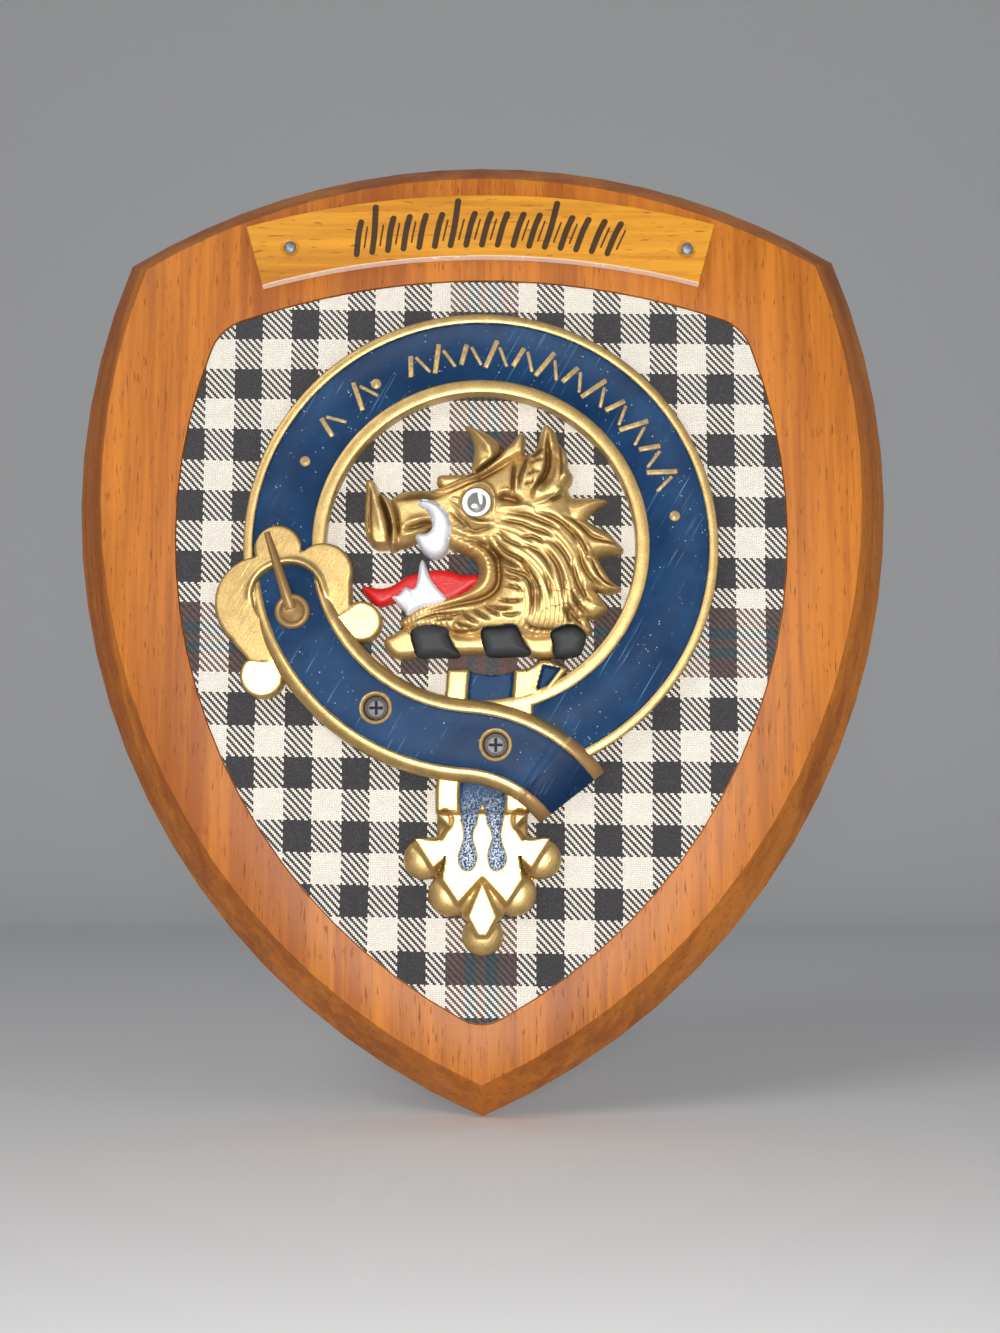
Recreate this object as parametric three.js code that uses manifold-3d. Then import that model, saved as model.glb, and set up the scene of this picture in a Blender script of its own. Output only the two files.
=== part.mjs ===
import * as THREE from 'three';
import { mergeVertices } from 'three/addons/utils/BufferGeometryUtils.js';
import Module from 'manifold-3d';

// A heraldic wall plaque: a chamfered wooden shield, tartan cloth in its routed recess,
// a belt and buckle moulding with a boar's head inside it, and a curved name plate.
// Millimetres, +Z up. The back lies on y = 0, the front faces -Y, and the origin is
// the middle of the back.

// Shield board
const boardThickness = 20;
const backEdge = 3;
const chamferWidth = 10.6;
const faceHalfWidth = 117;
const widestToTip = 180.5;
const widestToCorner = 69.3;
const crownRise = 29;

// Routed recess, its borders measured from the edge of the board's face
const sideBorder = 23;
const tipBorder = 16;
const crownBorder = 33;
const recessWidestDrop = 13.7;
const recessCrownRadius = 227;
const recessCornerRadius = 15;
const recessTipRadius = 12;
const recessDepth = 1.9;

// Hanging slot in the back
const slotEntryRadius = 5.5;
const slotNeckWidth = 5.4;
const slotRun = 14;
const slotDepth = 9.5;
const slotLip = 3;
const slotBelowCrown = 36;

// Cloth, and the gap between pieces that touch
const clothThickness = 0.9;
const fitGap = 0.3;

// Belt
const clothBesideBelt = 22;
const beltWidth = 24.8;
const beltThickness = 5.4;
const outerRim = 2.9;
const innerRim = 4;
const rimRise = 0.8;
const beltAboveTip = 145;

// Strap end, buckle, hanging strap and its metal end
const strapThickness = 9;
const strapRim = 4.3;
const strapTurnRadius = 44;
const buckleThickness = 7.2;
const eyeletRadius = 5.2;
const hangingWidth = 26;
const hangingThickness = 6.4;
const hangingBorder = 6.4;
const hangingDip = 0.04;
const hangingChannel = 1;
const chapeThickness = 7;
const lobeThickness = 5.6;
const slotFloor = 4.6;
const leafDepth = 1.8;
const edgeBevel = 0.8;

// Raised strokes round the top of the belt
const strokeLength = 9.4;
const strokeWidth = 1.2;
const strokeRise = 0.5;
const dotRadius = 1.6;

// Screws in the strap end
const screwHeadRadius = 3.4;
const screwHeadHeight = 1.8;
const screwSinking = 2.4;
const screwShankRadius = 1.7;
const screwBite = 11;

// Boar's head crest
const crestClearance = 3.4;
const crestEdge = 2.2;
const crestCell = 1.85;
const furrowPitch = 6;
const furrowDepth = 0.7;

// Name plate and its pins
const plateThickness = 3;
const plateRadius = 275;
const plateHeight = 20;
const plateHalfAngle = 15.4;
const plateBelowCrown = 6.8;
const pinHeadRadius = 2;
const pinHeadHeight = 0.9;
const pinShankRadius = 0.8;
const pinBite = 8;
const pinAngles = { plate_pin_left: 12.9, plate_pin_right: -14 };

// Depths along Y
const faceY = -boardThickness;
const recessY = faceY + recessDepth;
const clothBackY = recessY - fitGap;
const clothFrontY = clothBackY - clothThickness;
const mouldingY = clothFrontY - fitGap;
const plateBackY = faceY - fitGap;

// Heights along Z; the shield's whole height is centred on the origin
const sideRadius = (faceHalfWidth ** 2 + widestToTip ** 2) / (2 * faceHalfWidth);
const tipOverhang = chamferWidth * sideRadius / widestToTip;
const wholeHeight = widestToTip + widestToCorner + crownRise + chamferWidth + tipOverhang;
const faceTipZ = tipOverhang - wholeHeight / 2;
const widestZ = faceTipZ + widestToTip;
const crownZ = widestZ + widestToCorner + crownRise;

// Recess
const recessHalfWidth = faceHalfWidth - sideBorder;
const recessWidestZ = widestZ - recessWidestDrop;
const recessCrownZ = crownZ - crownBorder;
const recessTipZ = faceTipZ + tipBorder;

// Belt circles
const beltOuter = recessHalfWidth - clothBesideBelt;
const beltInner = beltOuter - beltWidth;
const beltMiddle = beltOuter - beltWidth / 2;
const beltZ = recessTipZ + beltAboveTip;

const wasm = await Module();
wasm.setup();

// Solids

function solidOf(geometry) {
	const bare = new THREE.BufferGeometry();
	bare.setAttribute('position', geometry.getAttribute('position'));
	if (geometry.index) bare.setIndex(geometry.index);
	const merged = mergeVertices(bare, 1e-4);
	const make = (triVerts) => new wasm.Manifold(new wasm.Mesh({
		numProp: 3,
		vertProperties: new Float32Array(merged.getAttribute('position').array),
		triVerts,
	}));
	const triangles = new Uint32Array(merged.index.array);
	const solid = make(triangles);
	return solid.volume() > 0 ? solid : make(triangles.reverse());
}

function geometryOf(solid) {
	const { vertProperties, triVerts } = solid.getMesh();
	const geometry = new THREE.BufferGeometry();
	geometry.setAttribute('position', new THREE.BufferAttribute(vertProperties, 3));
	geometry.setIndex(new THREE.BufferAttribute(triVerts, 1));
	return geometry;
}

const union = (solids) => solids.reduce((whole, next) => whole.add(next));

// a flat piece with an outline drawn in X and Z, rising from backY towards the viewer
function slab(outline, backY, thickness) {
	const shape = new THREE.Shape(outline);
	const geometry = new THREE.ExtrudeGeometry(shape, { depth: thickness, bevelEnabled: false });
	geometry.rotateX(Math.PI / 2);
	geometry.translate(0, backY, 0);
	return solidOf(geometry);
}

// a piece turned about an axis that points at the viewer; the profile is [radius, height] pairs
function turned(profile, place, backY, segments) {
	const points = profile.map(([radius, height]) => new THREE.Vector2(radius, height));
	const geometry = new THREE.LatheGeometry(points, segments);
	geometry.rotateX(Math.PI);
	geometry.translate(place.x, backY, place.y);
	return solidOf(geometry);
}

// a closed skin through rings of equally many points, with both ends capped
function loft(rings) {
	const count = rings[0].length;
	const positions = rings.flat().flatMap((point) => [point.x, point.y, point.z]);
	const triangles = [];
	for (let ring = 0; ring + 1 < rings.length; ring++) {
		for (let i = 0; i < count; i++) {
			const a = ring * count + i;
			const b = ring * count + (i + 1) % count;
			triangles.push(a, b, b + count, a, b + count, a + count);
		}
	}
	const last = (rings.length - 1) * count;
	for (const [a, b, c] of capOf(rings[0])) triangles.push(a, c, b);
	for (const [a, b, c] of capOf(rings[rings.length - 1])) triangles.push(a + last, b + last, c + last);
	const geometry = new THREE.BufferGeometry();
	geometry.setAttribute('position', new THREE.Float32BufferAttribute(positions, 3));
	geometry.setIndex(triangles);
	return solidOf(geometry);
}

// triangles that close a flat ring, drawn in the ring's own plane and wound as the ring is
function capOf(ring) {
	const normal = new THREE.Vector3();
	ring.forEach((point, i) => normal.add(point.clone().cross(ring[(i + 1) % ring.length])));
	normal.normalize();
	const across = ring[1].clone().sub(ring[0]).normalize();
	const up = normal.clone().cross(across);
	return THREE.ShapeUtils.triangulateShape(
		ring.map((point) => new THREE.Vector2(point.dot(across), point.dot(up))), []);
}

// Outlines in X and Z

const at = (x, z) => new THREE.Vector2(x, z);
const radians = (degrees) => degrees * Math.PI / 180;
const smooth = (t) => THREE.MathUtils.smoothstep(t, 0, 1);

function arc(centre, radius, fromDegrees, toDegrees, steps) {
	const points = [];
	for (let i = 0; i <= steps; i++) {
		const turn = radians(THREE.MathUtils.lerp(fromDegrees, toDegrees, i / steps));
		points.push(at(centre.x + radius * Math.cos(turn), centre.y + radius * Math.sin(turn)));
	}
	return points;
}

// half a shield, right side, from its tip up round the corner to its crown; the tip and the
// corner are sharp, or rounded by circles that touch both sides
function halfShield(halfWidth, widest, tip, crown, crownRadius, grow, cornerRadius, tipRadius) {
	const drop = widest - tip;
	const radius = (halfWidth ** 2 + drop ** 2) / (2 * halfWidth);
	const side = at(halfWidth - radius, widest);
	const top = at(0, crown - crownRadius);
	const gap = side.distanceTo(top);
	const sideReach = radius + grow;
	const topReach = crownRadius + grow;
	const cornerTurn = cornerRadius ? cornerRadius + grow : 0;
	const tipTurn = tipRadius ? tipRadius + grow : 0;
	const lean = Math.atan2(side.y - top.y, side.x - top.x);
	const [fromTop, fromSide] = [topReach - cornerTurn, sideReach - cornerTurn];
	const atTop = Math.acos((gap ** 2 + fromTop ** 2 - fromSide ** 2) / (2 * gap * fromTop));
	const corner = at(top.x + fromTop * Math.cos(lean - atTop), top.y + fromTop * Math.sin(lean - atTop));
	const foot = at(0, side.y - Math.sqrt((sideReach - tipTurn) ** 2 - side.x ** 2));
	const degreesFrom = (centre, point) => Math.atan2(point.y - centre.y, point.x - centre.x) * 180 / Math.PI;
	const [start, end, rest] = [degreesFrom(side, foot), degreesFrom(side, corner), degreesFrom(top, corner)];
	const tipArc = tipTurn ? arc(foot, tipTurn, -90, start, 3).slice(0, -1) : [];
	const cornerArc = cornerTurn ? arc(corner, cornerTurn, end, rest, 5).slice(1) : [];
	const half = [...tipArc, ...arc(side, sideReach, start, end, 20), ...cornerArc,
		...arc(top, topReach, rest, 90, 9).slice(1)];
	half[0].x = 0;
	half[half.length - 1].x = 0;
	return half;
}

// the whole outline from its right half, counterclockwise from the tip
function mirrored(half) {
	const left = half.slice(1, -1).reverse().map((point) => at(-point.x, point.y));
	return [...half, ...left];
}

const crownRadius = (() => {
	const reach = Math.sqrt(sideRadius ** 2 - widestToCorner ** 2) - (sideRadius - faceHalfWidth);
	return (reach ** 2 + crownRise ** 2) / (2 * crownRise);
})();

const shieldOutline = (grow) => mirrored(
	halfShield(faceHalfWidth, widestZ, faceTipZ, crownZ, crownRadius, grow, 0, 0));

const recessOutline = (grow) => mirrored(halfShield(
	recessHalfWidth, recessWidestZ, recessTipZ, recessCrownZ, recessCrownRadius, grow,
	recessCornerRadius, recessTipRadius));

const ringAt = (outline, y) => outline.map((point) => new THREE.Vector3(point.x, y, point.y));

// Places on the belt, in degrees about its centre

const beltCentre = at(0, beltZ);

function onBelt(degrees, radius = beltMiddle) {
	const turn = radians(degrees);
	return at(radius * Math.cos(turn), beltZ + radius * Math.sin(turn));
}

// the moulding's free forms are drawn in hundredths of the belt's outer radius
const beltUnit = beltOuter / 100;
const drawn = (x, z) => at(x * beltUnit, beltZ + z * beltUnit);

// Strap end: along the belt from the buckle, then a turn the other way to its folded end

const strapStart = 186;
const strapLeave = 266;
const strapTurn = 48;
const strapArcLength = radians(strapLeave - strapStart) * beltMiddle;
const strapLength = strapArcLength + radians(strapTurn) * strapTurnRadius;

function strapPlace(along) {
	if (along <= strapArcLength) {
		const degrees = strapStart + (strapLeave - strapStart) * along / strapArcLength;
		return { place: onBelt(degrees), heading: degrees + 90 };
	}
	const turned = (along - strapArcLength) / strapTurnRadius * 180 / Math.PI;
	const pivot = onBelt(strapLeave, beltMiddle + strapTurnRadius);
	const degrees = strapLeave - 180 - turned;
	const turn = radians(degrees);
	const place = at(pivot.x + strapTurnRadius * Math.cos(turn), pivot.y + strapTurnRadius * Math.sin(turn));
	return { place, heading: degrees - 90 };
}

// the strap rises out of the buckle and rolls over at its end
function strapHeight(along) {
	const rise = smooth(along / (0.2 * strapLength));
	const roll = Math.max(0, along - 0.93 * strapLength) / (0.07 * strapLength);
	const lowest = 0.55 * beltThickness;
	const full = THREE.MathUtils.lerp(beltThickness, strapThickness, rise);
	return lowest + (full - lowest) * Math.sqrt(1 - 0.9 * roll ** 2);
}

function strapSection(along) {
	const { place, heading } = strapPlace(along);
	const half = beltWidth / 2;
	const height = strapHeight(along);
	const inner = half - strapRim;
	const profile = [
		[-half, 0], [half, 0], [half, height - 2.2], [half - 1.2, height - 0.6], [inner + 1, height],
		[inner, height - 0.7], [-inner, height - 0.7], [-inner - 1, height], [1.2 - half, height - 0.6],
		[-half, height - 2.2],
	];
	const sideways = radians(heading + 90);
	return profile.map(([across, rise]) => new THREE.Vector3(
		place.x + across * Math.cos(sideways),
		mouldingY - rise,
		place.y + across * Math.sin(sideways)));
}

function strapEnd() {
	const steps = 22;
	const sections = [];
	for (let i = 0; i < steps; i++) sections.push(strapSection(0.93 * strapLength * i / steps));
	for (const share of [0.93, 0.955, 0.98, 0.995, 1]) sections.push(strapSection(share * strapLength));
	return loft(sections);
}

// Belt

// a half-round rim between two radii, from the outer one to the inner one
function rim(from, to) {
	const middle = (from + to) / 2;
	const half = (from - to) / 2;
	return [0, 60, 120, 180].map((degrees) => [
		middle + half * Math.cos(radians(degrees)),
		beltThickness + rimRise * Math.sin(radians(degrees)),
	]);
}

function belt() {
	const profile = [
		[beltInner, 0], [beltOuter, 0],
		...rim(beltOuter, beltOuter - outerRim), ...rim(beltInner + innerRim, beltInner),
		[beltInner, 0],
	];
	return turned(profile, beltCentre, mouldingY, 52);
}

// a bevelled disc, for the rounded lobes
function lobe(place, radius, thickness) {
	const shoulder = thickness - edgeBevel;
	const profile = [[0, 0], [radius, 0], [radius, shoulder], [radius - edgeBevel, thickness], [0, thickness]];
	return turned(profile, place, mouldingY, 16);
}

// Buckle: a plate of five lobes with a round opening, and its tongue in an eyelet

const buckleLobes = [
	[-91.5, -24.3, 19.8], [-85, -1.3, 10.2], [-66, -11, 12.2], [-49.5, -32.2, 8.3], [-91.2, -55.3, 9],
];
const buckleOpening = [drawn(-82.6, -21.5), 9 * beltUnit / 0.72];
const tongueRoot = drawn(-89.6, 4.9);
const eyeletPlace = drawn(-78.5, -28.5);

function buckle() {
	const lobes = buckleLobes.map(([x, z, radius]) => lobe(drawn(x, z), radius * beltUnit, buckleThickness));
	const cheeks = [
		[drawn(-111, -28), drawn(-97.5, -50), drawn(-84, -50), drawn(-84, -24)],
		[drawn(-74, -1), drawn(-58, -4), drawn(-54, -12), drawn(-54, -24), drawn(-50, -40), drawn(-64, -39),
			drawn(-70, -30)],
		[drawn(-96, -6), drawn(-84, -24), drawn(-66, -14), drawn(-72, 0)],
	];
	const webs = cheeks.map((outline) => slab(outline, mouldingY, buckleThickness - 0.05));
	const opening = turned(
		[[0, -1], [buckleOpening[1], -1], [buckleOpening[1], buckleThickness + 1], [0, buckleThickness + 1]],
		buckleOpening[0], mouldingY, 32);
	return union([...lobes, ...webs]).subtract(opening);
}

function tongue() {
	const from = new THREE.Vector3(tongueRoot.x, mouldingY - buckleThickness + 0.6, tongueRoot.y);
	const to = new THREE.Vector3(eyeletPlace.x, mouldingY - strapThickness + 0.4, eyeletPlace.y);
	const run = to.clone().sub(from);
	const sideways = new THREE.Vector3(run.z, 0, -run.x).normalize();
	const outwards = new THREE.Vector3(0, -1, 0);
	const rings = [];
	for (const [share, half, rise] of [[0, 0.7, 1], [0.3, 1.3, 2.6], [0.7, 1.7, 2.6], [1, 1.9, 1.8]]) {
		const middle = from.clone().addScaledVector(run, share);
		const section = [[-1, -1.2], [1, -1.2], [1, 0.3], [0.45, 0.9], [-0.45, 0.9], [-1, 0.3]];
		rings.push(section.map(([across, up]) => middle.clone()
			.addScaledVector(sideways, across * half).addScaledVector(outwards, up * rise)));
	}
	return loft(rings);
}

function eyelet() {
	const low = strapThickness - 3;
	const top = strapThickness + 0.5;
	return turned(
		[[0.6 * eyeletRadius, low], [eyeletRadius, low], [eyeletRadius, top - 0.8], [0.8 * eyeletRadius, top],
			[0.6 * eyeletRadius, top - 0.6], [0.6 * eyeletRadius, low]],
		eyeletPlace, mouldingY, 18);
}

// Hanging strap, its pointed metal end, and the gusset between the strap and the belt

function hangingStrap() {
	const top = drawn(4.5, -53);
	const foot = drawn(0.5, -112);
	const half = hangingWidth / 2;
	const inner = half - hangingBorder;
	// a place so far to the right of the strap's middle line, at a share of its way down
	const across = (right, share) => at(
		THREE.MathUtils.lerp(top.x, foot.x, share) + right, THREE.MathUtils.lerp(top.y, foot.y, share));
	// the top edge dips between its borders
	const dip = [1, 0.5, 0, -0.5, -1].map((share) => across(share * inner, hangingDip * (1 - share ** 2)));
	const outline = [across(-half, 1), across(half, 1), across(half, 0), ...dip, across(-half, 0)];
	const channel = [across(-inner, 1.1), across(inner, 1.1), across(inner, -0.1), across(-inner, -0.1)];
	return slab(outline, mouldingY, hangingThickness)
		.subtract(slab(channel, mouldingY - hangingThickness + hangingChannel, hangingThickness));
}

function chape() {
	const middle = 0.5;
	const mirroredOutline = (points) => {
		const left = points.slice().reverse().map(([x, z]) => [-x, z]);
		return [...points, ...left].map(([x, z]) => drawn(middle + x, z));
	};
	const lobes = [[24.2, -131.3, 8.6], [13.3, -145.7, 9.1]].flatMap(([x, z, radius]) => [
		lobe(drawn(middle - x, z), radius * beltUnit, lobeThickness),
		lobe(drawn(middle + x, z), radius * beltUnit, lobeThickness),
	]);
	const point = lobe(drawn(middle, -162.6), 8.5 * beltUnit, lobeThickness);
	const base = slab(
		mirroredOutline([[5, -160], [17, -147], [22, -136], [27, -125], [18.8, -121], [18.8, -108]]),
		mouldingY, lobeThickness);
	// the raised flat with its straight edges, and the long diamond below it
	const flat = mirroredOutline([
		[1, -138.8], [10, -149], [16.4, -139.6], [14.7, -130], [20.3, -135], [27.8, -123], [16.4, -123.8],
		[13, -118], [17.8, -113.3], [17.8, -109],
	]);
	const diamond = mirroredOutline([[1.6, -162], [5.7, -155], [1, -142]]);
	const raised = [flat, diamond].map((outline) => slab(outline, mouldingY, chapeThickness));
	// two slots that run down from the strap and end in drops
	const slots = [-6.1, 6.1].map((x) => {
		const neck = [[2.4, -122], [3.2, -106], [-3.2, -106], [-2.4, -122]].map(([u, z]) => drawn(middle + x + u, z));
		const drop = arc(drawn(middle + x, -131.5), 3.9 * beltUnit, 160, 380, 8);
		return slab([...drop, ...neck], mouldingY - slotFloor, chapeThickness);
	});
	return union([base, ...lobes, point, ...raised]).subtract(union(slots));
}

function gusset() {
	const outline = (points) => points.map(([x, z]) => drawn(x, z));
	const web = outline([
		[14.6, -58.5], [16.7, -53.6], [25, -48.9], [29, -48.8], [37, -52.5], [28, -64], [19.4, -69.6],
	]);
	const leaf = outline([[26.5, -50.5], [33, -52.5], [26.4, -61.5], [23.3, -61]]);
	return slab(web, mouldingY, hangingThickness)
		.subtract(slab(leaf, mouldingY - hangingThickness + leafDepth, hangingThickness));
}

// Raised strokes, slanted and long and short in turn, with dots between their rows

function strokes() {
	const rise = beltThickness + strokeRise;
	const bars = [];
	for (const [start, end, count] of [[142, 129, 2], [111, 22, 12]]) {
		for (let i = 0; i < count; i++) {
			const degrees = start + (end - start) * i / (count - 1);
			const middle = onBelt(degrees);
			const lean = radians(degrees) - 0.35;
			const half = strokeLength * (i % 2 ? 0.5 : 0.36);
			const corner = (u, v) => at(
				middle.x + u * half * Math.cos(lean) - v * strokeWidth / 2 * Math.sin(lean),
				middle.y + u * half * Math.sin(lean) + v * strokeWidth / 2 * Math.cos(lean));
			const outline = [corner(-1, -1), corner(1, -1), corner(1, 1), corner(-1, 1)];
			bars.push(slab(outline, mouldingY - strokeRise, rise - strokeRise));
		}
	}
	const dots = [154, 122.5, 8.4].map((degrees) => turned(
		[[0, strokeRise], [dotRadius, strokeRise], [dotRadius, rise], [0, rise]], onBelt(degrees), mouldingY, 8));
	return union([...bars, ...dots]);
}

// Screws

const screwPlaces = {
	screw_left: onBelt(237.7, beltMiddle - 1),
	screw_right: onBelt(274.2, beltMiddle + 1.3),
};
const screwFace = strapThickness - 0.7 - screwSinking;
const screwLength = screwFace + fitGap + clothThickness + fitGap + screwBite;

// the screw's own form, or with room > 0 the hole it goes in
function screwForm(place, room, mouth) {
	const head = screwHeadRadius + room;
	const shank = screwShankRadius + room;
	const top = screwFace + (mouth ? screwSinking + 1 : 0);
	const under = screwFace - screwHeadHeight - room;
	const end = screwFace - screwLength - room;
	const point = mouth ? 0 : shank;
	const profile = [[0, end], [shank, end + point], [shank, under], [head, screwFace - 0.3], [head, screwFace]];
	if (mouth) profile.push([head + 0.9, top]);
	profile.push([0, top]);
	return turned(profile, place, mouldingY, 18);
}

function screw(name) {
	const place = screwPlaces[name];
	const slotHalf = 0.62 * screwHeadRadius;
	const cut = (x, z) => {
		const outline = [[-x, -z], [x, -z], [x, z], [-x, z]].map(([u, v]) => at(place.x + u, place.y + v));
		return slab(outline, mouldingY - screwFace + 0.9, 2);
	};
	return screwForm(place, 0, false).subtract(cut(slotHalf, 0.45)).subtract(cut(0.45, slotHalf));
}

const screwHoles = union(Object.values(screwPlaces).map((place) => screwForm(place, fitGap, true)));

function beltAndBuckle() {
	const moulding = union([
		belt(), buckle(), hangingStrap(), chape(), gusset(), strapEnd(), eyelet(), tongue(), strokes(),
	]);
	return moulding.subtract(screwHoles);
}

// Boar's head crest
// Drawn in a circle of 44 units that fills the belt, less the clearance. Each form gives its
// distance inside its own edge and its height; the head is the highest of them everywhere.

const crestUnit = (beltInner - crestClearance) / 44;

function curveThrough(points, closed) {
	const corners = points.map(([x, z]) => new THREE.Vector3(x, z, 0));
	return new THREE.CatmullRomCurve3(corners, closed, 'catmullrom', 0.5).getPoints(3 * points.length);
}

// distance from a place to a line, and the share of its pieces passed there
function nearest(line, x, z) {
	const found = { distance: Infinity, share: 0, odd: false };
	for (let i = 0; i + 1 < line.length; i++) {
		const [a, b] = [line[i], line[i + 1]];
		const [runX, runZ] = [b.x - a.x, b.y - a.y];
		const along = ((x - a.x) * runX + (z - a.y) * runZ) / (runX ** 2 + runZ ** 2);
		const t = THREE.MathUtils.clamp(along, 0, 1);
		const distance = Math.hypot(x - a.x - t * runX, z - a.y - t * runZ);
		if (distance < found.distance) {
			found.distance = distance;
			found.share = (i + t) / (line.length - 1);
		}
		if (a.y > z !== b.y > z && x < a.x + runX * (z - a.y) / runZ) found.odd = !found.odd;
	}
	return found;
}

// a form inside a drawn outline, which rises over a rounded shoulder to its full height
function mass(height, shoulder, outline) {
	const line = curveThrough(outline, true);
	return (x, z) => {
		const { distance, odd } = nearest(line, x, z);
		const share = odd ? Math.min(distance / shoulder, 1) : 0;
		return { inside: odd ? distance : -distance, height: height * Math.sqrt(1 - (1 - share) ** 2) };
	};
}

// a bulge of the twisted wreath, leaning to the right as it goes down
function bulge(middle, halfAcross, height) {
	const halfUp = 4.6;
	const centreZ = -29.4;
	return (x, z) => {
		const up = z - centreZ;
		const inside = Math.min(halfAcross - Math.abs(x - middle + 0.3 * up), halfUp - Math.abs(up));
		const share = THREE.MathUtils.clamp(inside / 3, 0, 1);
		return { inside, height: height * Math.sqrt(1 - (1 - share) ** 2) };
	};
}

const headForms = [
	// skull and neck, lower jaw, muzzle, snout and the fold behind it
	mass(6.2, 9, [
		[-9, 19.5], [4, 26], [15, 28], [24, 24], [30, 9], [34, -4], [32, -27.6], [0, -28.6], [-10, -24], [3.4, -10],
		[-4, -0.6], [-9, 6],
	]),
	mass(4, 4.2, [
		[-24.6, -24], [-20, -19.2], [-10, -16], [-3, -12.8], [-0.5, -7.7], [-4.6, -2], [7, 2], [14, -12], [12, -28],
		[-10, -26.5], [-20, -25.5],
	]),
	mass(5.4, 4.6, [
		[-29.5, 14.4], [-24, 16.7], [-14, 17.5], [-9, 20], [2, 22], [4, 0], [-3.4, -3], [-9.8, -0.2], [-15, 5.5],
		[-20.5, 0.7], [-28, -0.6],
	]),
	mass(6.2, 1.8, [
		[-34.9, 20.1], [-32.4, 20], [-30, 15], [-27.4, 6], [-27.3, 0.5], [-32, -0.6], [-35.3, 5.4], [-35.4, 11],
	]),
	mass(5.8, 1.8, [[-31, 16], [-28.2, 14.7], [-25.1, 6.5], [-25.2, -0.5], [-27.6, -0.5], [-27.9, 5]]),
	// brow ridge, forelock and ear
	mass(6.4, 2.2, [
		[-15, 16.5], [-4, 21.5], [4, 26.3], [9.4, 31.7], [12.9, 34.8], [13.6, 31], [13, 27.7], [5, 23], [-6, 17.7],
	]),
	mass(4, 4, [[-4.8, 37.5], [1, 35.7], [5.9, 31.9], [5, 26], [0, 22.5], [-2.3, 28], [-3, 34.3]]),
	mass(6.8, 4.4, [
		[19.6, 37.6], [23.3, 34.5], [26.2, 29.2], [28.3, 21.5], [25.6, 15.3], [17.5, 11.5], [12.6, 16], [13.6, 27.9],
		[17.4, 31],
	]),
	// locks of the mane, from the ear down to the wreath
	mass(4.2, 4.2, [[38.8, 13.8], [30, 14.9], [20, 12], [29, 5], [33, 8.9]]),
	mass(5.8, 4.4, [[43.6, -1.5], [38.4, 4], [32, 7.7], [20, 9], [31, -6], [38, -3.3]]),
	mass(5, 4.2, [[42.9, -13.3], [39, -9.9], [35.4, -3.5], [25, -2], [32, -17], [37, -14.6]]),
	mass(4.2, 3.6, [[38.5, -20], [34.4, -13.3], [26, -10], [29, -25], [34, -22.5]]),
	mass(3.4, 3, [[33.7, -26.9], [32.2, -21.7], [25, -20], [26, -28]]),
	// upper and lower tusks, and the tongue
	mass(7.2, 2, [
		[-18.9, 12.6], [-15, 13.2], [-10.4, 9.5], [-9, 3.7], [-11.4, -2.9], [-17.6, -1.7], [-19.5, 2.3], [-15, 4.7],
		[-15, 8.7],
	]),
	mass(4.8, 1.8, [
		[-18, -4], [-15.2, -9.7], [-10.4, -15.8], [-18, -19.5], [-22, -21.5], [-26.9, -16], [-22.6, -12.5],
		[-19, -9.5],
	]),
	mass(2, 2.2, [
		[-36.3, -12.7], [-28, -12.3], [-18.8, -8], [-8, -7.7], [-1, -8.6], [0, -11], [-8, -16.5], [-20, -18],
		[-30.6, -18.4],
	]),
];

// wreath: gold and black bulges in turn under the neck
for (const middle of [-24.3, -3.4, 17]) headForms.push(bulge(middle, 4.9, 3.6));
for (const middle of [-14.2, 7.6, 26.6]) headForms.push(bulge(middle, 5.4, 4.6));

// ridges and grooves: half width, rise and the line that each follows
const headLines = [
	// lip round the corner of the mouth, and the hollow behind it
	[2.2, 1.5, [[-10.4, 0.9], [-0.4, -2.7], [1.9, -9.7], [-3, -14.9], [-15, -18.5], [-24, -23.5]]],
	[1.6, -1.9, [[-9.4, 3], [0.6, 0], [5.4, -8], [2.8, -15.3], [-8, -18.6]]],
	// snout, gum, brow, hollow behind the eye and the inside of the ear
	[1.3, -1.9, [[-31.4, 17], [-29.4, 12], [-27.9, 7.4], [-27.5, 0]]],
	[1.3, -1.2, [[-23.4, 4.5], [-16.5, 6.6], [-13.6, 6.7]]],
	[1.3, -1.4, [[-12, 15], [-2, 19], [8, 24.5], [10.8, 26.7]]],
	[1.9, -2.2, [[4.6, 14], [8, 14], [13, 12.3]]],
	[1.8, -2.4, [[20.6, 36.3], [20.5, 27], [18.8, 20], [15.8, 15.3]]],
].map(([half, rise, points]) => ({ half, rise, line: curveThrough(points, false) }));

const eyePlace = [-1.2, 12.8];
const eyeRadius = 4.2;

function headForm(x, z) {
	let inside = -Infinity;
	let height = 0;
	for (const form of headForms) {
		const found = form(x, z);
		inside = Math.max(inside, found.inside);
		height = Math.max(height, found.height);
	}
	// the cheek swells towards the hinge of the jaw
	height += 1.3 * Math.exp(-(((x - 12) / 13) ** 2) - ((z + 7) / 14) ** 2);
	for (const { half, rise, line } of headLines) {
		const { distance, share } = nearest(line, x, z);
		const taper = Math.min(1, share / 0.3, (1 - share) / 0.3);
		height += rise * taper * Math.exp(-1.5 * (distance / half) ** 2);
	}
	// hair that sweeps round the hinge of the jaw
	const sweep = Math.hypot(x, z + 20);
	const hairy = smooth((x - 4) / 6) * smooth((sweep - 6) / 4) * smooth((10 - z) / 4) * smooth((z + 25) / 4);
	height -= furrowDepth * hairy * (1 + Math.cos(2 * Math.PI * sweep / furrowPitch));
	// the eyeball in its socket
	const fromEye = Math.hypot(x - eyePlace[0], z - eyePlace[1]) / eyeRadius;
	if (fromEye < 1) height = 4.1 + 1.5 * Math.sqrt(1 - fromEye ** 2);
	return { inside, height: Math.max(height, 0) };
}

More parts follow.
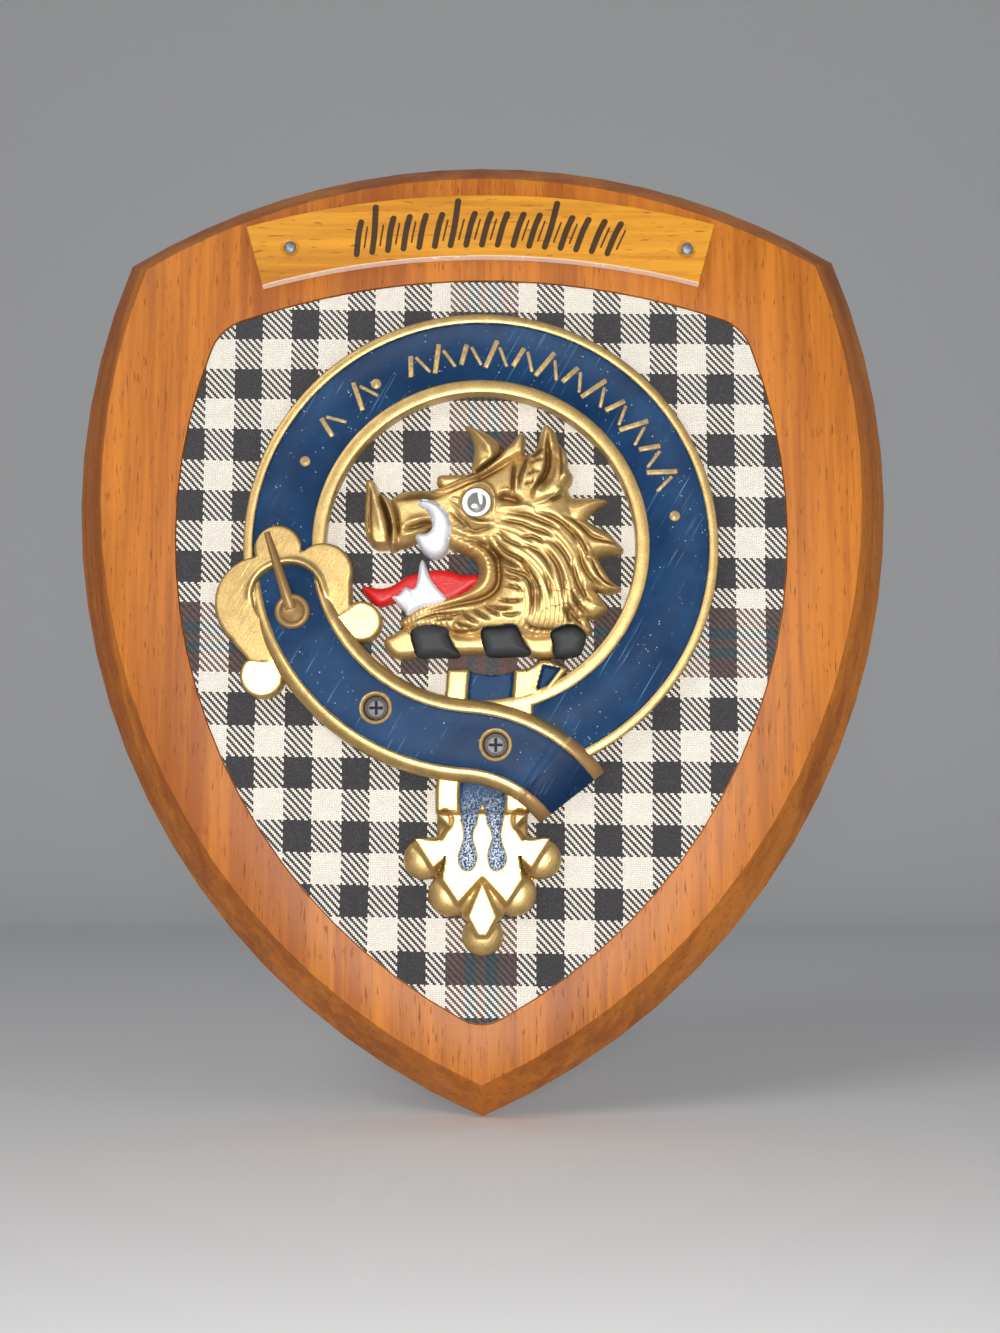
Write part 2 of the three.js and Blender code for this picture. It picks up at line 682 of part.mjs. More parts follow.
// a raised form with a flat back: cells of a square grid, trimmed where the outline crosses them
function relief(form, reach, cell, unit, centre, backY) {
	const count = Math.ceil(2 * reach / cell);
	const step = 2 * reach / count;
	const place = (i) => -reach + i * step;
	const corners = new Map();
	const insideAt = (i, j) => {
		const key = i * 1000 + j;
		if (!corners.has(key)) corners.set(key, form(place(i), place(j)).inside);
		return corners.get(key);
	};
	const flat = [];
	const numbers = new Map();
	const pointAt = (x, z, key) => {
		if (!numbers.has(key)) {
			numbers.set(key, flat.length);
			flat.push(at(x, z));
		}
		return numbers.get(key);
	};
	const faces = [];
	const follow = new Map();
	for (let i = 0; i < count; i++) {
		for (let j = 0; j < count; j++) {
			const round = [[i, j], [i + 1, j], [i + 1, j + 1], [i, j + 1]];
			const loop = [];
			round.forEach(([a, b], k) => {
				const [c, d] = round[(k + 1) % 4];
				const here = insideAt(a, b);
				const next = insideAt(c, d);
				if (here > 0) loop.push({ number: pointAt(place(a), place(b), `${a},${b}`), rim: 0 });
				if (here > 0 !== next > 0) {
					const t = THREE.MathUtils.clamp(here / (here - next), 0.1, 0.9);
					const share = [a, b, c, d].join() < [c, d, a, b].join() ? t : 1 - t;
					const [p, q, r, s] = share === t ? [a, b, c, d] : [c, d, a, b];
					const number = pointAt(
						place(p) + (place(r) - place(p)) * share, place(q) + (place(s) - place(q)) * share,
						`${p},${q},${r},${s}`);
					loop.push({ number, rim: here > 0 ? 1 : 2 });
				}
			});
			for (let k = 1; k + 1 < loop.length; k++) faces.push([loop[0].number, loop[k].number, loop[k + 1].number]);
			loop.forEach((point, k) => {
				const next = loop[(k + 1) % loop.length];
				if (point.rim === 1 && next.rim === 2) follow.set(point.number, next.number);
			});
		}
	}
	const loops = [];
	while (follow.size) {
		const loop = [];
		let number = follow.keys().next().value;
		while (follow.has(number)) {
			loop.push(number);
			const next = follow.get(number);
			follow.delete(number);
			number = next;
		}
		loops.push(loop);
	}
	const area = (loop) => THREE.ShapeUtils.area(loop.map((number) => flat[number]));
	const outer = loops.filter((loop) => area(loop) > 0).sort((a, b) => area(b) - area(a))[0];
	const positions = [];
	const spot = (point, height) => positions.push(
		centre.x + unit * point.x, backY - height, centre.y + unit * point.y);
	const kept = new Set(outer);
	const shown = connected(faces, kept);
	const holes = loops.filter((loop) => area(loop) < 0 && kept.has(loop[0]));
	flat.forEach((point) => spot(point, crestEdge + unit * form(point.x, point.y).height));
	flat.forEach((point) => spot(point, 0));
	const below = flat.length;
	const triangles = shown.flatMap(([a, b, c]) => [a, c, b]);
	const rims = [outer, ...holes];
	for (const loop of rims) {
		loop.forEach((number, k) => {
			const next = loop[(k + 1) % loop.length];
			triangles.push(number, next, next + below, number, next + below, number + below);
		});
	}
	const order = rims.flat();
	const contour = (loop) => loop.map((number) => flat[number]);
	for (const [a, b, c] of THREE.ShapeUtils.triangulateShape(contour(outer), holes.map(contour))) {
		triangles.push(order[a] + below, order[b] + below, order[c] + below);
	}
	const geometry = new THREE.BufferGeometry();
	geometry.setAttribute('position', new THREE.Float32BufferAttribute(positions, 3));
	geometry.setIndex(triangles);
	return solidOf(geometry);
}

// the faces that hang together with the outer rim
function connected(faces, kept) {
	let grown = true;
	while (grown) {
		grown = false;
		for (const face of faces) {
			if (face.some((number) => kept.has(number)) && !face.every((number) => kept.has(number))) {
				face.forEach((number) => kept.add(number));
				grown = true;
			}
		}
	}
	return faces.filter((face) => kept.has(face[0]));
}

const boarHead = () => relief(headForm, 45, crestCell, crestUnit, beltCentre, mouldingY);

// Name plate: a strip of a ring

const platePivot = at(0, crownZ - plateBelowCrown - plateRadius);
const plateMiddle = plateRadius - plateHeight / 2;

function plateOutline() {
	const outer = arc(platePivot, plateRadius, 90 + plateHalfAngle, 90 - plateHalfAngle, 12);
	const inner = arc(platePivot, plateRadius - plateHeight, 90 - plateHalfAngle, 90 + plateHalfAngle, 12);
	return [...outer, ...inner];
}

function pinPlace(name) {
	const turn = radians(90 + pinAngles[name]);
	return at(platePivot.x + plateMiddle * Math.cos(turn), platePivot.y + plateMiddle * Math.sin(turn));
}

// a pin from its domed head to its point, or with room > 0 the hole for its shank
function pinForm(name, room) {
	const shank = pinShankRadius + room;
	const under = plateThickness + fitGap;
	const end = -fitGap - pinBite - room;
	if (room > 0) {
		const above = under + 1;
		return turned([[0, end], [shank, end], [shank, above], [0, above]], pinPlace(name), plateBackY, 12);
	}
	const head = [0, 30, 60, 90].map((degrees) => [
		pinHeadRadius * Math.cos(radians(degrees)), under + pinHeadHeight * Math.sin(radians(degrees))]);
	head[3][0] = 0;
	return turned([[0, end], [shank, end + 2], [shank, under], ...head], pinPlace(name), plateBackY, 12);
}

const pinHoles = union(Object.keys(pinAngles).map((name) => pinForm(name, fitGap)));

// Board and cloth

function hangingSlot() {
	const top = wholeHeight / 2 - slotBelowCrown;
	const entry = at(0, top - slotRun);
	const capsule = (half) => [...arc(entry, half, 180, 360, 12), ...arc(at(0, top), half, 0, 180, 12)];
	const mouth = 1;
	return union([
		slab(arc(entry, slotEntryRadius, 0, 345, 23), mouth, slotDepth + mouth),
		slab(capsule(slotNeckWidth / 2), mouth, slotDepth + mouth),
		slab(capsule(slotEntryRadius), -slotLip, slotDepth - slotLip),
	]);
}

function board() {
	const wide = shieldOutline(chamferWidth);
	const blank = loft([ringAt(wide, 0), ringAt(wide, -backEdge), ringAt(shieldOutline(0), faceY)]);
	const pocket = slab(recessOutline(0), recessY, recessDepth + 1);
	return blank.subtract(pocket).subtract(hangingSlot()).subtract(screwHoles).subtract(pinHoles);
}

const cloth = () => slab(recessOutline(-fitGap), clothBackY, clothThickness).subtract(screwHoles);

// The plaque

const colours = {
	mahogany: { color: 0xa8592c, roughness: 0.45, metalness: 0 },
	tartan: { color: 0xb9b6ae, roughness: 0.95, metalness: 0 },
	moulding: { color: 0x1c3a66, roughness: 0.4, metalness: 0 },
	gilt: { color: 0xb8913f, roughness: 0.35, metalness: 0.6 },
	oak: { color: 0xd09a3c, roughness: 0.45, metalness: 0 },
	steel: { color: 0x9a9a98, roughness: 0.3, metalness: 1 },
};

const plaque = new THREE.Group();

function add(name, solid, colour) {
	const mesh = new THREE.Mesh(geometryOf(solid), new THREE.MeshStandardMaterial(colours[colour]));
	mesh.name = name;
	plaque.add(mesh);
}

add('shield_board', board(), 'mahogany');
add('tartan_cloth', cloth(), 'tartan');
add('belt_and_buckle', beltAndBuckle(), 'moulding');
add('boar_head_crest', boarHead(), 'gilt');
for (const name of Object.keys(screwPlaces)) add(name, screw(name), 'steel');
add('name_plate', slab(plateOutline(), plateBackY, plateThickness).subtract(pinHoles), 'oak');
for (const name of Object.keys(pinAngles)) add(name, pinForm(name, 0), 'steel');

export default plaque;
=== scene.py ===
import math

import bmesh
import bpy
import numpy as np
from mathutils import Matrix, Vector


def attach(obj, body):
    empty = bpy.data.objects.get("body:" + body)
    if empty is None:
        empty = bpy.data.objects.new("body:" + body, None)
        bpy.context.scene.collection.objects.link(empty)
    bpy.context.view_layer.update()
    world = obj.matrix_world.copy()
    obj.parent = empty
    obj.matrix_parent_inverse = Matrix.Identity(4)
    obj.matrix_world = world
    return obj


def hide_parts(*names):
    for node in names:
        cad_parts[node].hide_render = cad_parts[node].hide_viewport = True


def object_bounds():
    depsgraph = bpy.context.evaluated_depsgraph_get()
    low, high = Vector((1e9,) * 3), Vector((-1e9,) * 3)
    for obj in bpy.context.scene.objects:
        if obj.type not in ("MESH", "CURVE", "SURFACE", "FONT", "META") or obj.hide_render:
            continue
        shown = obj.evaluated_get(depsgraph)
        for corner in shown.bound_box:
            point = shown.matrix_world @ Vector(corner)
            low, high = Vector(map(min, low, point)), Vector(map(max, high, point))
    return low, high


# A heraldic shield plaque of wood, with tartan cloth, a belt-and-buckle moulding, a boar's
# head crest and a name plate. Shapes are worked out in millimetres in the frame of the CAD:
# X to the right, Z up, and y negative towards the viewer. Meshes are scaled to metres at the end.

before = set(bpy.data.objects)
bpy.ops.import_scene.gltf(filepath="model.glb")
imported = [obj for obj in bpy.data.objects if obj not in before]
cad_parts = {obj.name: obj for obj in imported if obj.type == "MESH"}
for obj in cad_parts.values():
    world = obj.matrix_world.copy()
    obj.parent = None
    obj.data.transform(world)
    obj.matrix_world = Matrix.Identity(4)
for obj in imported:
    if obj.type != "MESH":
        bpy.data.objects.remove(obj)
cad_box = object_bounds()
MM = 0.001

# Levels of the flat backs, and of the screw heads' faces
MOULDING_Y = -19.6
PLATE_BACK_Y = -20.3
SCREW_FACE_Y = -25.5

# Belt
BELT_X, BELT_Z = 0.0, 22.1
BELT_INNER, BELT_OUTER = 47.2, 72.0
RIM_INNER, RIM_OUTER = 51.3, 69.1
BELT_MIDDLE = 59.6
BELT_FACE = 5.2
STROKE_ROWS = [(142, 129, 2), (111, 22, 12)]
STROKE_LENGTH, STROKE_WIDTH, STROKE_RISE, STROKE_LEAN = 9.4, 1.6, 0.45, -0.35
FINE_HALF, FINE_WIDTH, FINE_RISE, FINE_LEAN, FINE_TURN = 3.3, 1.1, 0.3, 0.75, -3.6
DOTS = (154, 122.5, 8.4)

# Name plate, a strip of a ring
PLATE_TOP_Z = 133.3
PLATE_RADIUS, PLATE_WIDTH, PLATE_HALF_ANGLE = 275.0, 20.0, 15.4
PLATE_THICKNESS = 3.0


# Lines and distances

def smooth_line(points, closed=False, steps=5):
    """A smooth line through a few points."""
    p = np.array(points, float)
    n = len(p)
    line = []
    for i in range(n if closed else n - 1):
        if closed:
            a, b, c, d = p[i - 1], p[i], p[(i + 1) % n], p[(i + 2) % n]
        else:
            a, b, c, d = p[max(i - 1, 0)], p[i], p[i + 1], p[min(i + 2, n - 1)]
        for t in np.arange(steps) / steps:
            line.append(0.5 * (2 * b + (c - a) * t + (2 * a - 5 * b + 4 * c - d) * t * t
                               + (3 * b - a - 3 * c + d) * t ** 3))
    if not closed:
        line.append(p[-1])
    return np.array(line)


def nearest(x, z, line, closed=False):
    """Each place's distance to a line, and the share of the line's length there."""
    ends = np.roll(line, -1, 0) if closed else line[1:]
    starts = line if closed else line[:-1]
    lengths = np.hypot(*(ends - starts).T)
    before = np.concatenate([[0], np.cumsum(lengths)])
    best = np.full(x.shape, 1e9)
    share = np.zeros(x.shape)
    for (ax, az), (bx, bz), length, along in zip(starts, ends, lengths, before):
        if length == 0:
            continue
        ux, uz = (bx - ax) / length, (bz - az) / length
        t = np.clip((x - ax) * ux + (z - az) * uz, 0, length)
        d = np.hypot(x - ax - t * ux, z - az - t * uz)
        closer = d < best
        best = np.where(closer, d, best)
        share = np.where(closer, (along + t) / before[-1], share)
    return best, share


def depth_inside(x, z, outline):
    """Distance inside a closed outline, negative outside it."""
    d, _ = nearest(x, z, outline, True)
    odd = np.zeros(x.shape, bool)
    for (ax, az), (bx, bz) in zip(outline, np.roll(outline, -1, 0)):
        if az != bz:
            odd ^= ((az > z) != (bz > z)) & (x < (bx - ax) * (z - az) / (bz - az) + ax)
    return np.where(odd, d, -d)


def near(x, z, line, margin):
    """The places inside the box round a line."""
    low, high = line.min(0) - margin, line.max(0) + margin
    return (x > low[0]) & (x < high[0]) & (z > low[1]) & (z < high[1])


def disc_depth(x, z, place, across, up=None, lean=0):
    """Distance inside a circle or ellipse, negative outside it."""
    up = across if up is None else up
    a = math.radians(lean)
    u = (x - place[0]) * math.cos(a) + (z - place[1]) * math.sin(a)
    v = (z - place[1]) * math.cos(a) - (x - place[0]) * math.sin(a)
    return (1 - np.hypot(u / across, v / up)) * min(across, up)


def rounded(depth, middle, rounding, edge):
    """Height of a form that rises from its edge to its middle over a rounded shoulder."""
    t = np.clip(depth / rounding, 0, 1)
    return np.where(depth > 0, edge + (middle - edge) * np.sqrt(1 - (1 - t) ** 2), 0)


def outline_depth(x, z, outline, sharp=False):
    """Distance inside a drawn outline, worked out only near it."""
    line = np.array(outline, float) if sharp else smooth_line(outline, True)
    w = near(x, z, line, 3)
    depth = np.full(x.shape, -1e3)
    depth[w] = depth_inside(x[w], z[w], line)
    return depth


def stroke(x, z, height, points, half, rise, marks=None):
    """Adds a ridge, or with rise < 0 a groove, that tapers at both ends."""
    line = smooth_line(points)
    w = near(x, z, line, half * 1.8)
    d, share = nearest(x[w], z[w], line)
    taper = np.clip(np.minimum(share, 1 - share) / 0.3, 0, 1) ** 0.7
    amount = taper * np.exp(-1.5 * (d / (half * (0.5 + 0.5 * taper))) ** 2)
    height[w] += rise * amount
    # a groove is recorded in marks, for painted shade
    if marks is not None and rise < 0:
        marks[w] = np.maximum(marks[w], amount)


# Meshes

def new_object(name, bm):
    """An object made of the bmesh, which is used up."""
    mesh = bpy.data.meshes.new(name)
    bm.to_mesh(mesh)
    bm.free()
    obj = bpy.data.objects.new(name, mesh)
    bpy.context.scene.collection.objects.link(obj)
    return obj


def piece(name, bm, material, nodes, sharp=40):
    """Turns a bmesh in millimetres into an object that stands for these CAD nodes."""
    bmesh.ops.scale(bm, vec=(MM, MM, MM), verts=bm.verts)
    bm.normal_update()
    for face in bm.faces:
        face.smooth = True
    for edge in bm.edges:
        if len(edge.link_faces) == 2:
            edge.smooth = edge.calc_face_angle() < math.radians(sharp)
    obj = new_object(name, bm)
    obj.data.materials.append(material)
    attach(obj, "root")
    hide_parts(*nodes)
    return obj


def copy_of(node, flatness=None):
    """A CAD node's mesh in millimetres, merged, and with its flat faces made whole."""
    bm = bmesh.new()
    bm.from_mesh(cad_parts[node].data)
    bmesh.ops.scale(bm, vec=(1 / MM, 1 / MM, 1 / MM), verts=bm.verts)
    bmesh.ops.remove_doubles(bm, verts=bm.verts, dist=MERGE_DISTANCE)
    if flatness:
        bmesh.ops.dissolve_limit(bm, angle_limit=math.radians(flatness), verts=bm.verts, edges=bm.edges)
    return bm


def split_large_faces(bm):
    bmesh.ops.triangulate(bm, faces=[f for f in bm.faces if len(f.verts) > 4])


def add_mark(bm, name, values):
    layer = bm.verts.layers.float.get(name) or bm.verts.layers.float.new(name)
    for vert, value in zip(bm.verts, values):
        vert[layer] = value


MERGE_DISTANCE = 1e-3
BACK_TILE, BACK_LINE = 9.0, 0.017
SLOPE_STEP, LEAST_SLOPE = 0.05, 0.2


def relief(bm, box, cell, depth, field, back):
    """A raised form with a flat back. depth(x, z) is the distance inside its outline; field(x, z)
    gives its height and marks for the paint. A fine grid is trimmed and closed behind."""
    x0, z0, x1, z1 = box
    made = bmesh.new()
    across, up = round((x1 - x0) / cell), round((z1 - z0) / cell)
    bmesh.ops.create_grid(made, x_segments=across, y_segments=up, size=1)
    place = np.array([v.co[:2] for v in made.verts])
    x = x0 + (place[:, 0] + 1) / 2 * (x1 - x0)
    z = z0 + (place[:, 1] + 1) / 2 * (z1 - z0)
    inside = depth(x, z)
    for vert, a, b, d in zip(made.verts, x, z, inside):
        vert.co = (a, d, b)
    spare = [f for f in made.faces if all(v.co.y <= 0 for v in f.verts)]
    bmesh.ops.delete(made, geom=spare, context="FACES")
    x, inside, z = np.array([v.co for v in made.verts]).T
    # the outer corners move onto the outline
    w = inside < 0
    a, b = x[w], z[w]
    for _ in range(3):
        d = depth(a, b)
        gx = (depth(a + SLOPE_STEP, b) - d) / SLOPE_STEP
        gz = (depth(a, b + SLOPE_STEP) - d) / SLOPE_STEP
        size = np.maximum(np.hypot(gx, gz), LEAST_SLOPE)
        a, b = a - d * gx / size ** 2, b - d * gz / size ** 2
    x[w], z[w] = a, b
    raise_front(made, x, z, field, back)
    join(bm, made)


def raise_front(made, x, z, field, back):
    """Lifts a flat net of faces to the field's height and closes it behind."""
    height, marks = field(x, z)
    for vert, a, b, h in zip(made.verts, x, z, height):
        vert.co = (a, back - h, b)
    for name, values in marks.items():
        add_mark(made, name, values)
    # the same faces again, pressed flat, close it behind
    front = made.faces[:]
    bmesh.ops.extrude_face_region(made, geom=front, use_keep_orig=True)
    low = list(dict.fromkeys(v for f in front for v in f.verts))
    inner = list(dict.fromkeys(e for f in front for e in f.edges))
    for vert in low:
        vert.co.y = back
    bmesh.ops.recalc_face_normals(made, faces=made.faces)
    # the flat back becomes large tiles
    for edge in inner:
        edge.seam = on_tile_line(edge)
    bmesh.ops.dissolve_limit(made, angle_limit=math.radians(0.2), verts=low, edges=inner,
                             delimit={"SEAM"})


def on_tile_line(edge):
    """Whether an edge runs along one of the lines between the tiles of a flat back."""
    a, b = (v.co for v in edge.verts)
    return any(abs(a[k] - b[k]) < 1e-4 and abs(a[k] / BACK_TILE - round(a[k] / BACK_TILE)) < BACK_LINE
               for k in (0, 2))


def join(bm, other):
    """Adds a bmesh to another, with its marks."""
    names = list(other.verts.layers.float.keys())
    mesh = bpy.data.meshes.new("part")
    other.to_mesh(mesh)
    other.free()
    for name in names:
        if name not in bm.verts.layers.float.keys():
            bm.verts.layers.float.new(name)
    bm.from_mesh(mesh)
    bpy.data.meshes.remove(mesh)


def turned(profile, place, back, steps):
    """A solid turned about an axis that points at the viewer; the profile is (radius, height)."""
    made = bmesh.new()
    verts = [made.verts.new((r, -h, 0)) for r, h in profile]
    edges = [made.edges.new(pair) for pair in zip(verts, verts[1:])]
    if profile[0][0] > 1e-6:
        edges.append(made.edges.new((verts[-1], verts[0])))
    bmesh.ops.spin(made, geom=verts + edges, cent=(0, 0, 0), axis=(0, 1, 0), angle=2 * math.pi, steps=steps,
                   use_merge=True, use_duplicate=False, dvec=(0, 0, 0))
    bmesh.ops.remove_doubles(made, verts=made.verts, dist=1e-5)
    bmesh.ops.translate(made, vec=(place[0], back, place[1]), verts=made.verts)
    bmesh.ops.recalc_face_normals(made, faces=made.faces)
    return made


def rounded_place(point, digits):
    return tuple(round(c, digits) for c in point)


def swept(sections):
    """A closed skin through rings of equally many points, capped at both ends."""
    made = bmesh.new()
    ring = [made.verts.new(p) for p in sections[0]]
    edges = [made.edges.new((a, b)) for a, b in zip(ring, ring[1:] + ring[:1])]
    bmesh.ops.contextual_create(made, geom=edges)
    for section in sections[1:]:
        grown = bmesh.ops.extrude_edge_only(made, edges=edges)["geom"]
        fresh = [g for g in grown if isinstance(g, bmesh.types.BMVert)]
        # each new vertex is matched to the one it grew from, by place
        order = {rounded_place(vert.co, 5): vert for vert in fresh}
        following = [order[rounded_place(v.co, 5)] for v in ring]
        for vert, p in zip(following, section):
            vert.co = p
        ring = following
        edges = [made.edges.get((a, b)) for a, b in zip(ring, ring[1:] + ring[:1])]
    bmesh.ops.contextual_create(made, geom=edges)
    bmesh.ops.recalc_face_normals(made, faces=made.faces)
    return made


# Materials

class Paint:
    """A material and short ways to add nodes to it."""

    def __init__(self, name, **constants):
        self.material = bpy.data.materials.new(name)
        self.material.use_nodes = True
        self.tree = self.material.node_tree
        self.shader = next(n for n in self.tree.nodes if n.type == "BSDF_PRINCIPLED")
        for socket, value in constants.items():
            self.shader.inputs[socket.replace("_", " ")].default_value = value
        self.place = self.node("ShaderNodeTexCoord").outputs["Object"]

    def node(self, kind, settings=None, **inputs):
        made = self.tree.nodes.new(kind)
        for key, value in (settings or {}).items():
            setattr(made, key, value)
        for key, value in inputs.items():
            socket = int(key[1:]) if key[0] == "_" else key.replace("_", " ")
            self.feed(made.inputs[socket], value)
        return made

    def feed(self, socket, value):
        if isinstance(value, bpy.types.NodeSocket):
            self.tree.links.new(value, socket)
        else:
            socket.default_value = value

    def math(self, operation, a, b=0.0, c=0.0):
        return self.node("ShaderNodeMath", {"operation": operation}, _0=a, _1=b, _2=c).outputs[0]

    def times(self, a, b):
        return self.math("MULTIPLY", a, b)

    def plus(self, a, b):
        return self.math("ADD", a, b)

    def less(self, a, b):
        return self.math("SUBTRACT", a, b)

    def mix(self, share, a, b, blend="MIX"):
        made = self.node("ShaderNodeMix", {"data_type": "RGBA", "blend_type": blend})
        for socket, value in zip((made.inputs[0], made.inputs[6], made.inputs[7]), (share, a, b)):
            self.feed(socket, value)
        return made.outputs[2]

    def range(self, value, low, high, out_low=0.0, out_high=1.0):
        return self.node("ShaderNodeMapRange", {"interpolation_type": "SMOOTHSTEP"}, Value=value,
                         From_Min=low, From_Max=high, To_Min=out_low, To_Max=out_high).outputs[0]

    def moved(self, scale=(1, 1, 1), turn=(0, 0, 0), shift=(0, 0, 0), place=None):
        return self.node("ShaderNodeMapping", Vector=place or self.place, Scale=scale, Rotation=turn,
                         Location=shift).outputs[0]

    def reach(self, point, flat=False):
        """Distance from a point; a flat one is measured across the front only."""
        place = self.vector("MULTIPLY", self.place, (1, 0, 1)).outputs[0] if flat else self.place
        return self.vector("DISTANCE", place, point).outputs["Value"]

    def vector(self, operation, a, b):
        return self.node("ShaderNodeVectorMath", {"operation": operation}, _0=a, _1=b)

    def noise(self, place, scale, detail=4.0, rough=0.55, distortion=0.0):
        return self.node("ShaderNodeTexNoise", Vector=place, Scale=scale, Detail=detail, Roughness=rough,
                         Distortion=distortion).outputs["Fac"]

    def mark(self, name):
        return self.node("ShaderNodeAttribute", {"attribute_name": name}).outputs["Fac"]

    def bump(self, height, strength, distance):
        return self.node("ShaderNodeBump", Height=height, Strength=strength, Distance=distance).outputs[0]

    def use(self, **sockets):
        for socket, value in sockets.items():
            self.feed(self.shader.inputs[socket.replace("_", " ")], value)
        return self.material


def colour(red, green, blue):
    return (red, green, blue, 1.0)


def wood(name, light, dark, pore, along, coat):
    """Varnished wood and its colour; along is the axis the grain runs along, 0 for X or 2 for Z."""
    p = Paint(name, Coat_Weight=coat, Coat_Roughness=0.4, Specular_IOR_Level=0.22)
    squash = [1.0, 1.0, 1.0]
    squash[along] = 0.045
    wander = p.moved(scale=[0.25 * s for s in squash])
    grain = p.moved(scale=squash)
    broad = p.noise(grain, 45, 3, 0.6, 0.6)
    fine = p.noise(grain, 420, 3, 0.65, 0.2)
    ribbon = p.noise(wander, 70, 2, 0.5, 1.2)
    tone = p.math("MULTIPLY_ADD", broad, 0.75, p.math("MULTIPLY_ADD", fine, 0.45, p.times(ribbon, 0.35)))
    base = p.mix(p.range(tone, 0.60, 0.96), dark, light)
    streaks = p.range(p.noise(p.moved(scale=[0.5 * s for s in squash]), 900, 2, 0.5), 0.60, 0.70)
    base = p.mix(p.times(streaks, 0.45), base, dark)
    dashes = [1.0, 1.0, 1.0]
    dashes[along] = 0.11
    pores = p.range(p.noise(p.moved(scale=dashes), 1500, 2, 0.5), 0.61, 0.7)
    base = p.mix(p.times(pores, 0.62), base, pore)
    rough = p.math("MULTIPLY_ADD", fine, 0.18, p.math("MULTIPLY_ADD", pores, 0.2, 0.40))
    height = p.math("MULTIPLY_ADD", pores, -0.8, p.times(fine, 0.4))
    p.use(Base_Color=base, Roughness=rough, Normal=p.bump(height, 0.35, 0.0003))
    return p, base


def tartan():
    """Woven twill: black, white, brown and teal threads in both directions."""
    p = Paint("tartan_twill", Roughness=0.95, Sheen_Weight=0.25, Sheen_Roughness=0.6)
    axes = p.node("ShaderNodeSeparateXYZ", Vector=p.place).outputs
    x, z = p.times(axes[0], 1 / MM), p.times(axes[2], 1 / MM)
    across = p.plus(x, p.times(z, CLOTH_LEAN_ACROSS))
    up = p.plus(z, p.times(x, CLOTH_LEAN_UP))
    # the threads aren't quite straight
    across = p.math("MULTIPLY_ADD", p.less(p.noise(p.place, 30, 2), 0.5), 0.9, across)
    up = p.math("MULTIPLY_ADD", p.less(p.noise(p.moved(shift=(3, 1, 2)), 30, 2), 0.5), 0.9, up)

    def threads(along, centre, pitch, middle, start, period, black):
        # each thread takes its colour from the stripe that its own middle lies in
        number = p.math("FLOOR", p.math("DIVIDE", along, pitch))
        place = p.times(p.plus(number, 0.5), pitch)
        out = p.math("ABSOLUTE", p.less(place, centre))
        in_check = p.math("LESS_THAN", p.math("WRAP", p.less(out, start), period, 0.0), black)
        in_check = p.times(in_check, p.math("GREATER_THAN", out, start))
        shade = p.mix(in_check, WHITE_YARN, BLACK_YARN)
        for reach, dye in zip(middle, (BROWN_YARN, TEAL_YARN, BROWN_YARN)):
            shade = p.mix(p.math("LESS_THAN", out, reach), shade, dye)
        thread = p.less(p.math("DIVIDE", along, pitch), number)
        return number, shade, p.math("SINE", p.times(thread, math.pi))

    column, warp, warp_round = threads(across, 0.45, WARP_PITCH, (10.45, 4.6, 1.4), 16.25, 17.53, 8.5)
    row, weft, weft_round = threads(up, -6.3, WEFT_PITCH, (10.6, 4.6, 1.4), 16.9, 19.19, 9.6)
    float_phase = p.math("WRAP", p.plus(column, row), 4.0, 0.0)
    warp_up = p.math("LESS_THAN", float_phase, 1.5)
    yarn = p.mix(warp_up, weft, warp)
    roundness = p.plus(p.times(warp_round, warp_up), p.times(weft_round, p.less(1.0, warp_up)))
    fuzz = p.noise(p.place, 2600, 3, 0.7)
    yarn = p.mix(p.times(p.range(fuzz, 0.5, 0.75), 0.1), yarn, WHITE_YARN)
    blotch = p.noise(p.place, 260, 3, 0.6)
    # painted shade: each thread is darker towards its edges, where it dips beside its neighbours; fuzz and
    # blotches vary its tone
    shade = p.math("MULTIPLY_ADD", roundness, 0.34, 0.62)
    shade = p.times(shade, p.math("MULTIPLY_ADD", fuzz, 0.7, 0.66))
    shade = p.times(shade, p.math("MULTIPLY_ADD", blotch, 0.24, 0.88))
    thread_shade_and_mottle = p.node("ShaderNodeCombineColor", _0=shade, _1=shade, _2=shade).outputs[0]
    height = p.math("MULTIPLY_ADD", fuzz, 0.35, roundness)
    return p.use(Base_Color=p.mix(1.0, yarn, thread_shade_and_mottle, "MULTIPLY"), Normal=p.bump(height, 0.55, 0.00035))


def gold_nodes(p, light=(0.58, 0.40, 0.157)):
    """Bronze-gold paint: its colour, its roughness and the flakes in it."""
    mottle = p.noise(p.place, 240, 4, 0.65)
    flakes = p.noise(p.place, 3200, 2, 0.6)
    base = p.mix(p.range(mottle, 0.36, 0.66), colour(*[0.82 * c for c in light]), colour(*light))
    base = p.mix(p.range(flakes, 0.62, 0.42, 0.0, 0.35), base, GOLD_DULL_AND_SHADE)
    rough = p.math("MULTIPLY_ADD", flakes, 0.16, 0.30)
    return base, rough, flakes


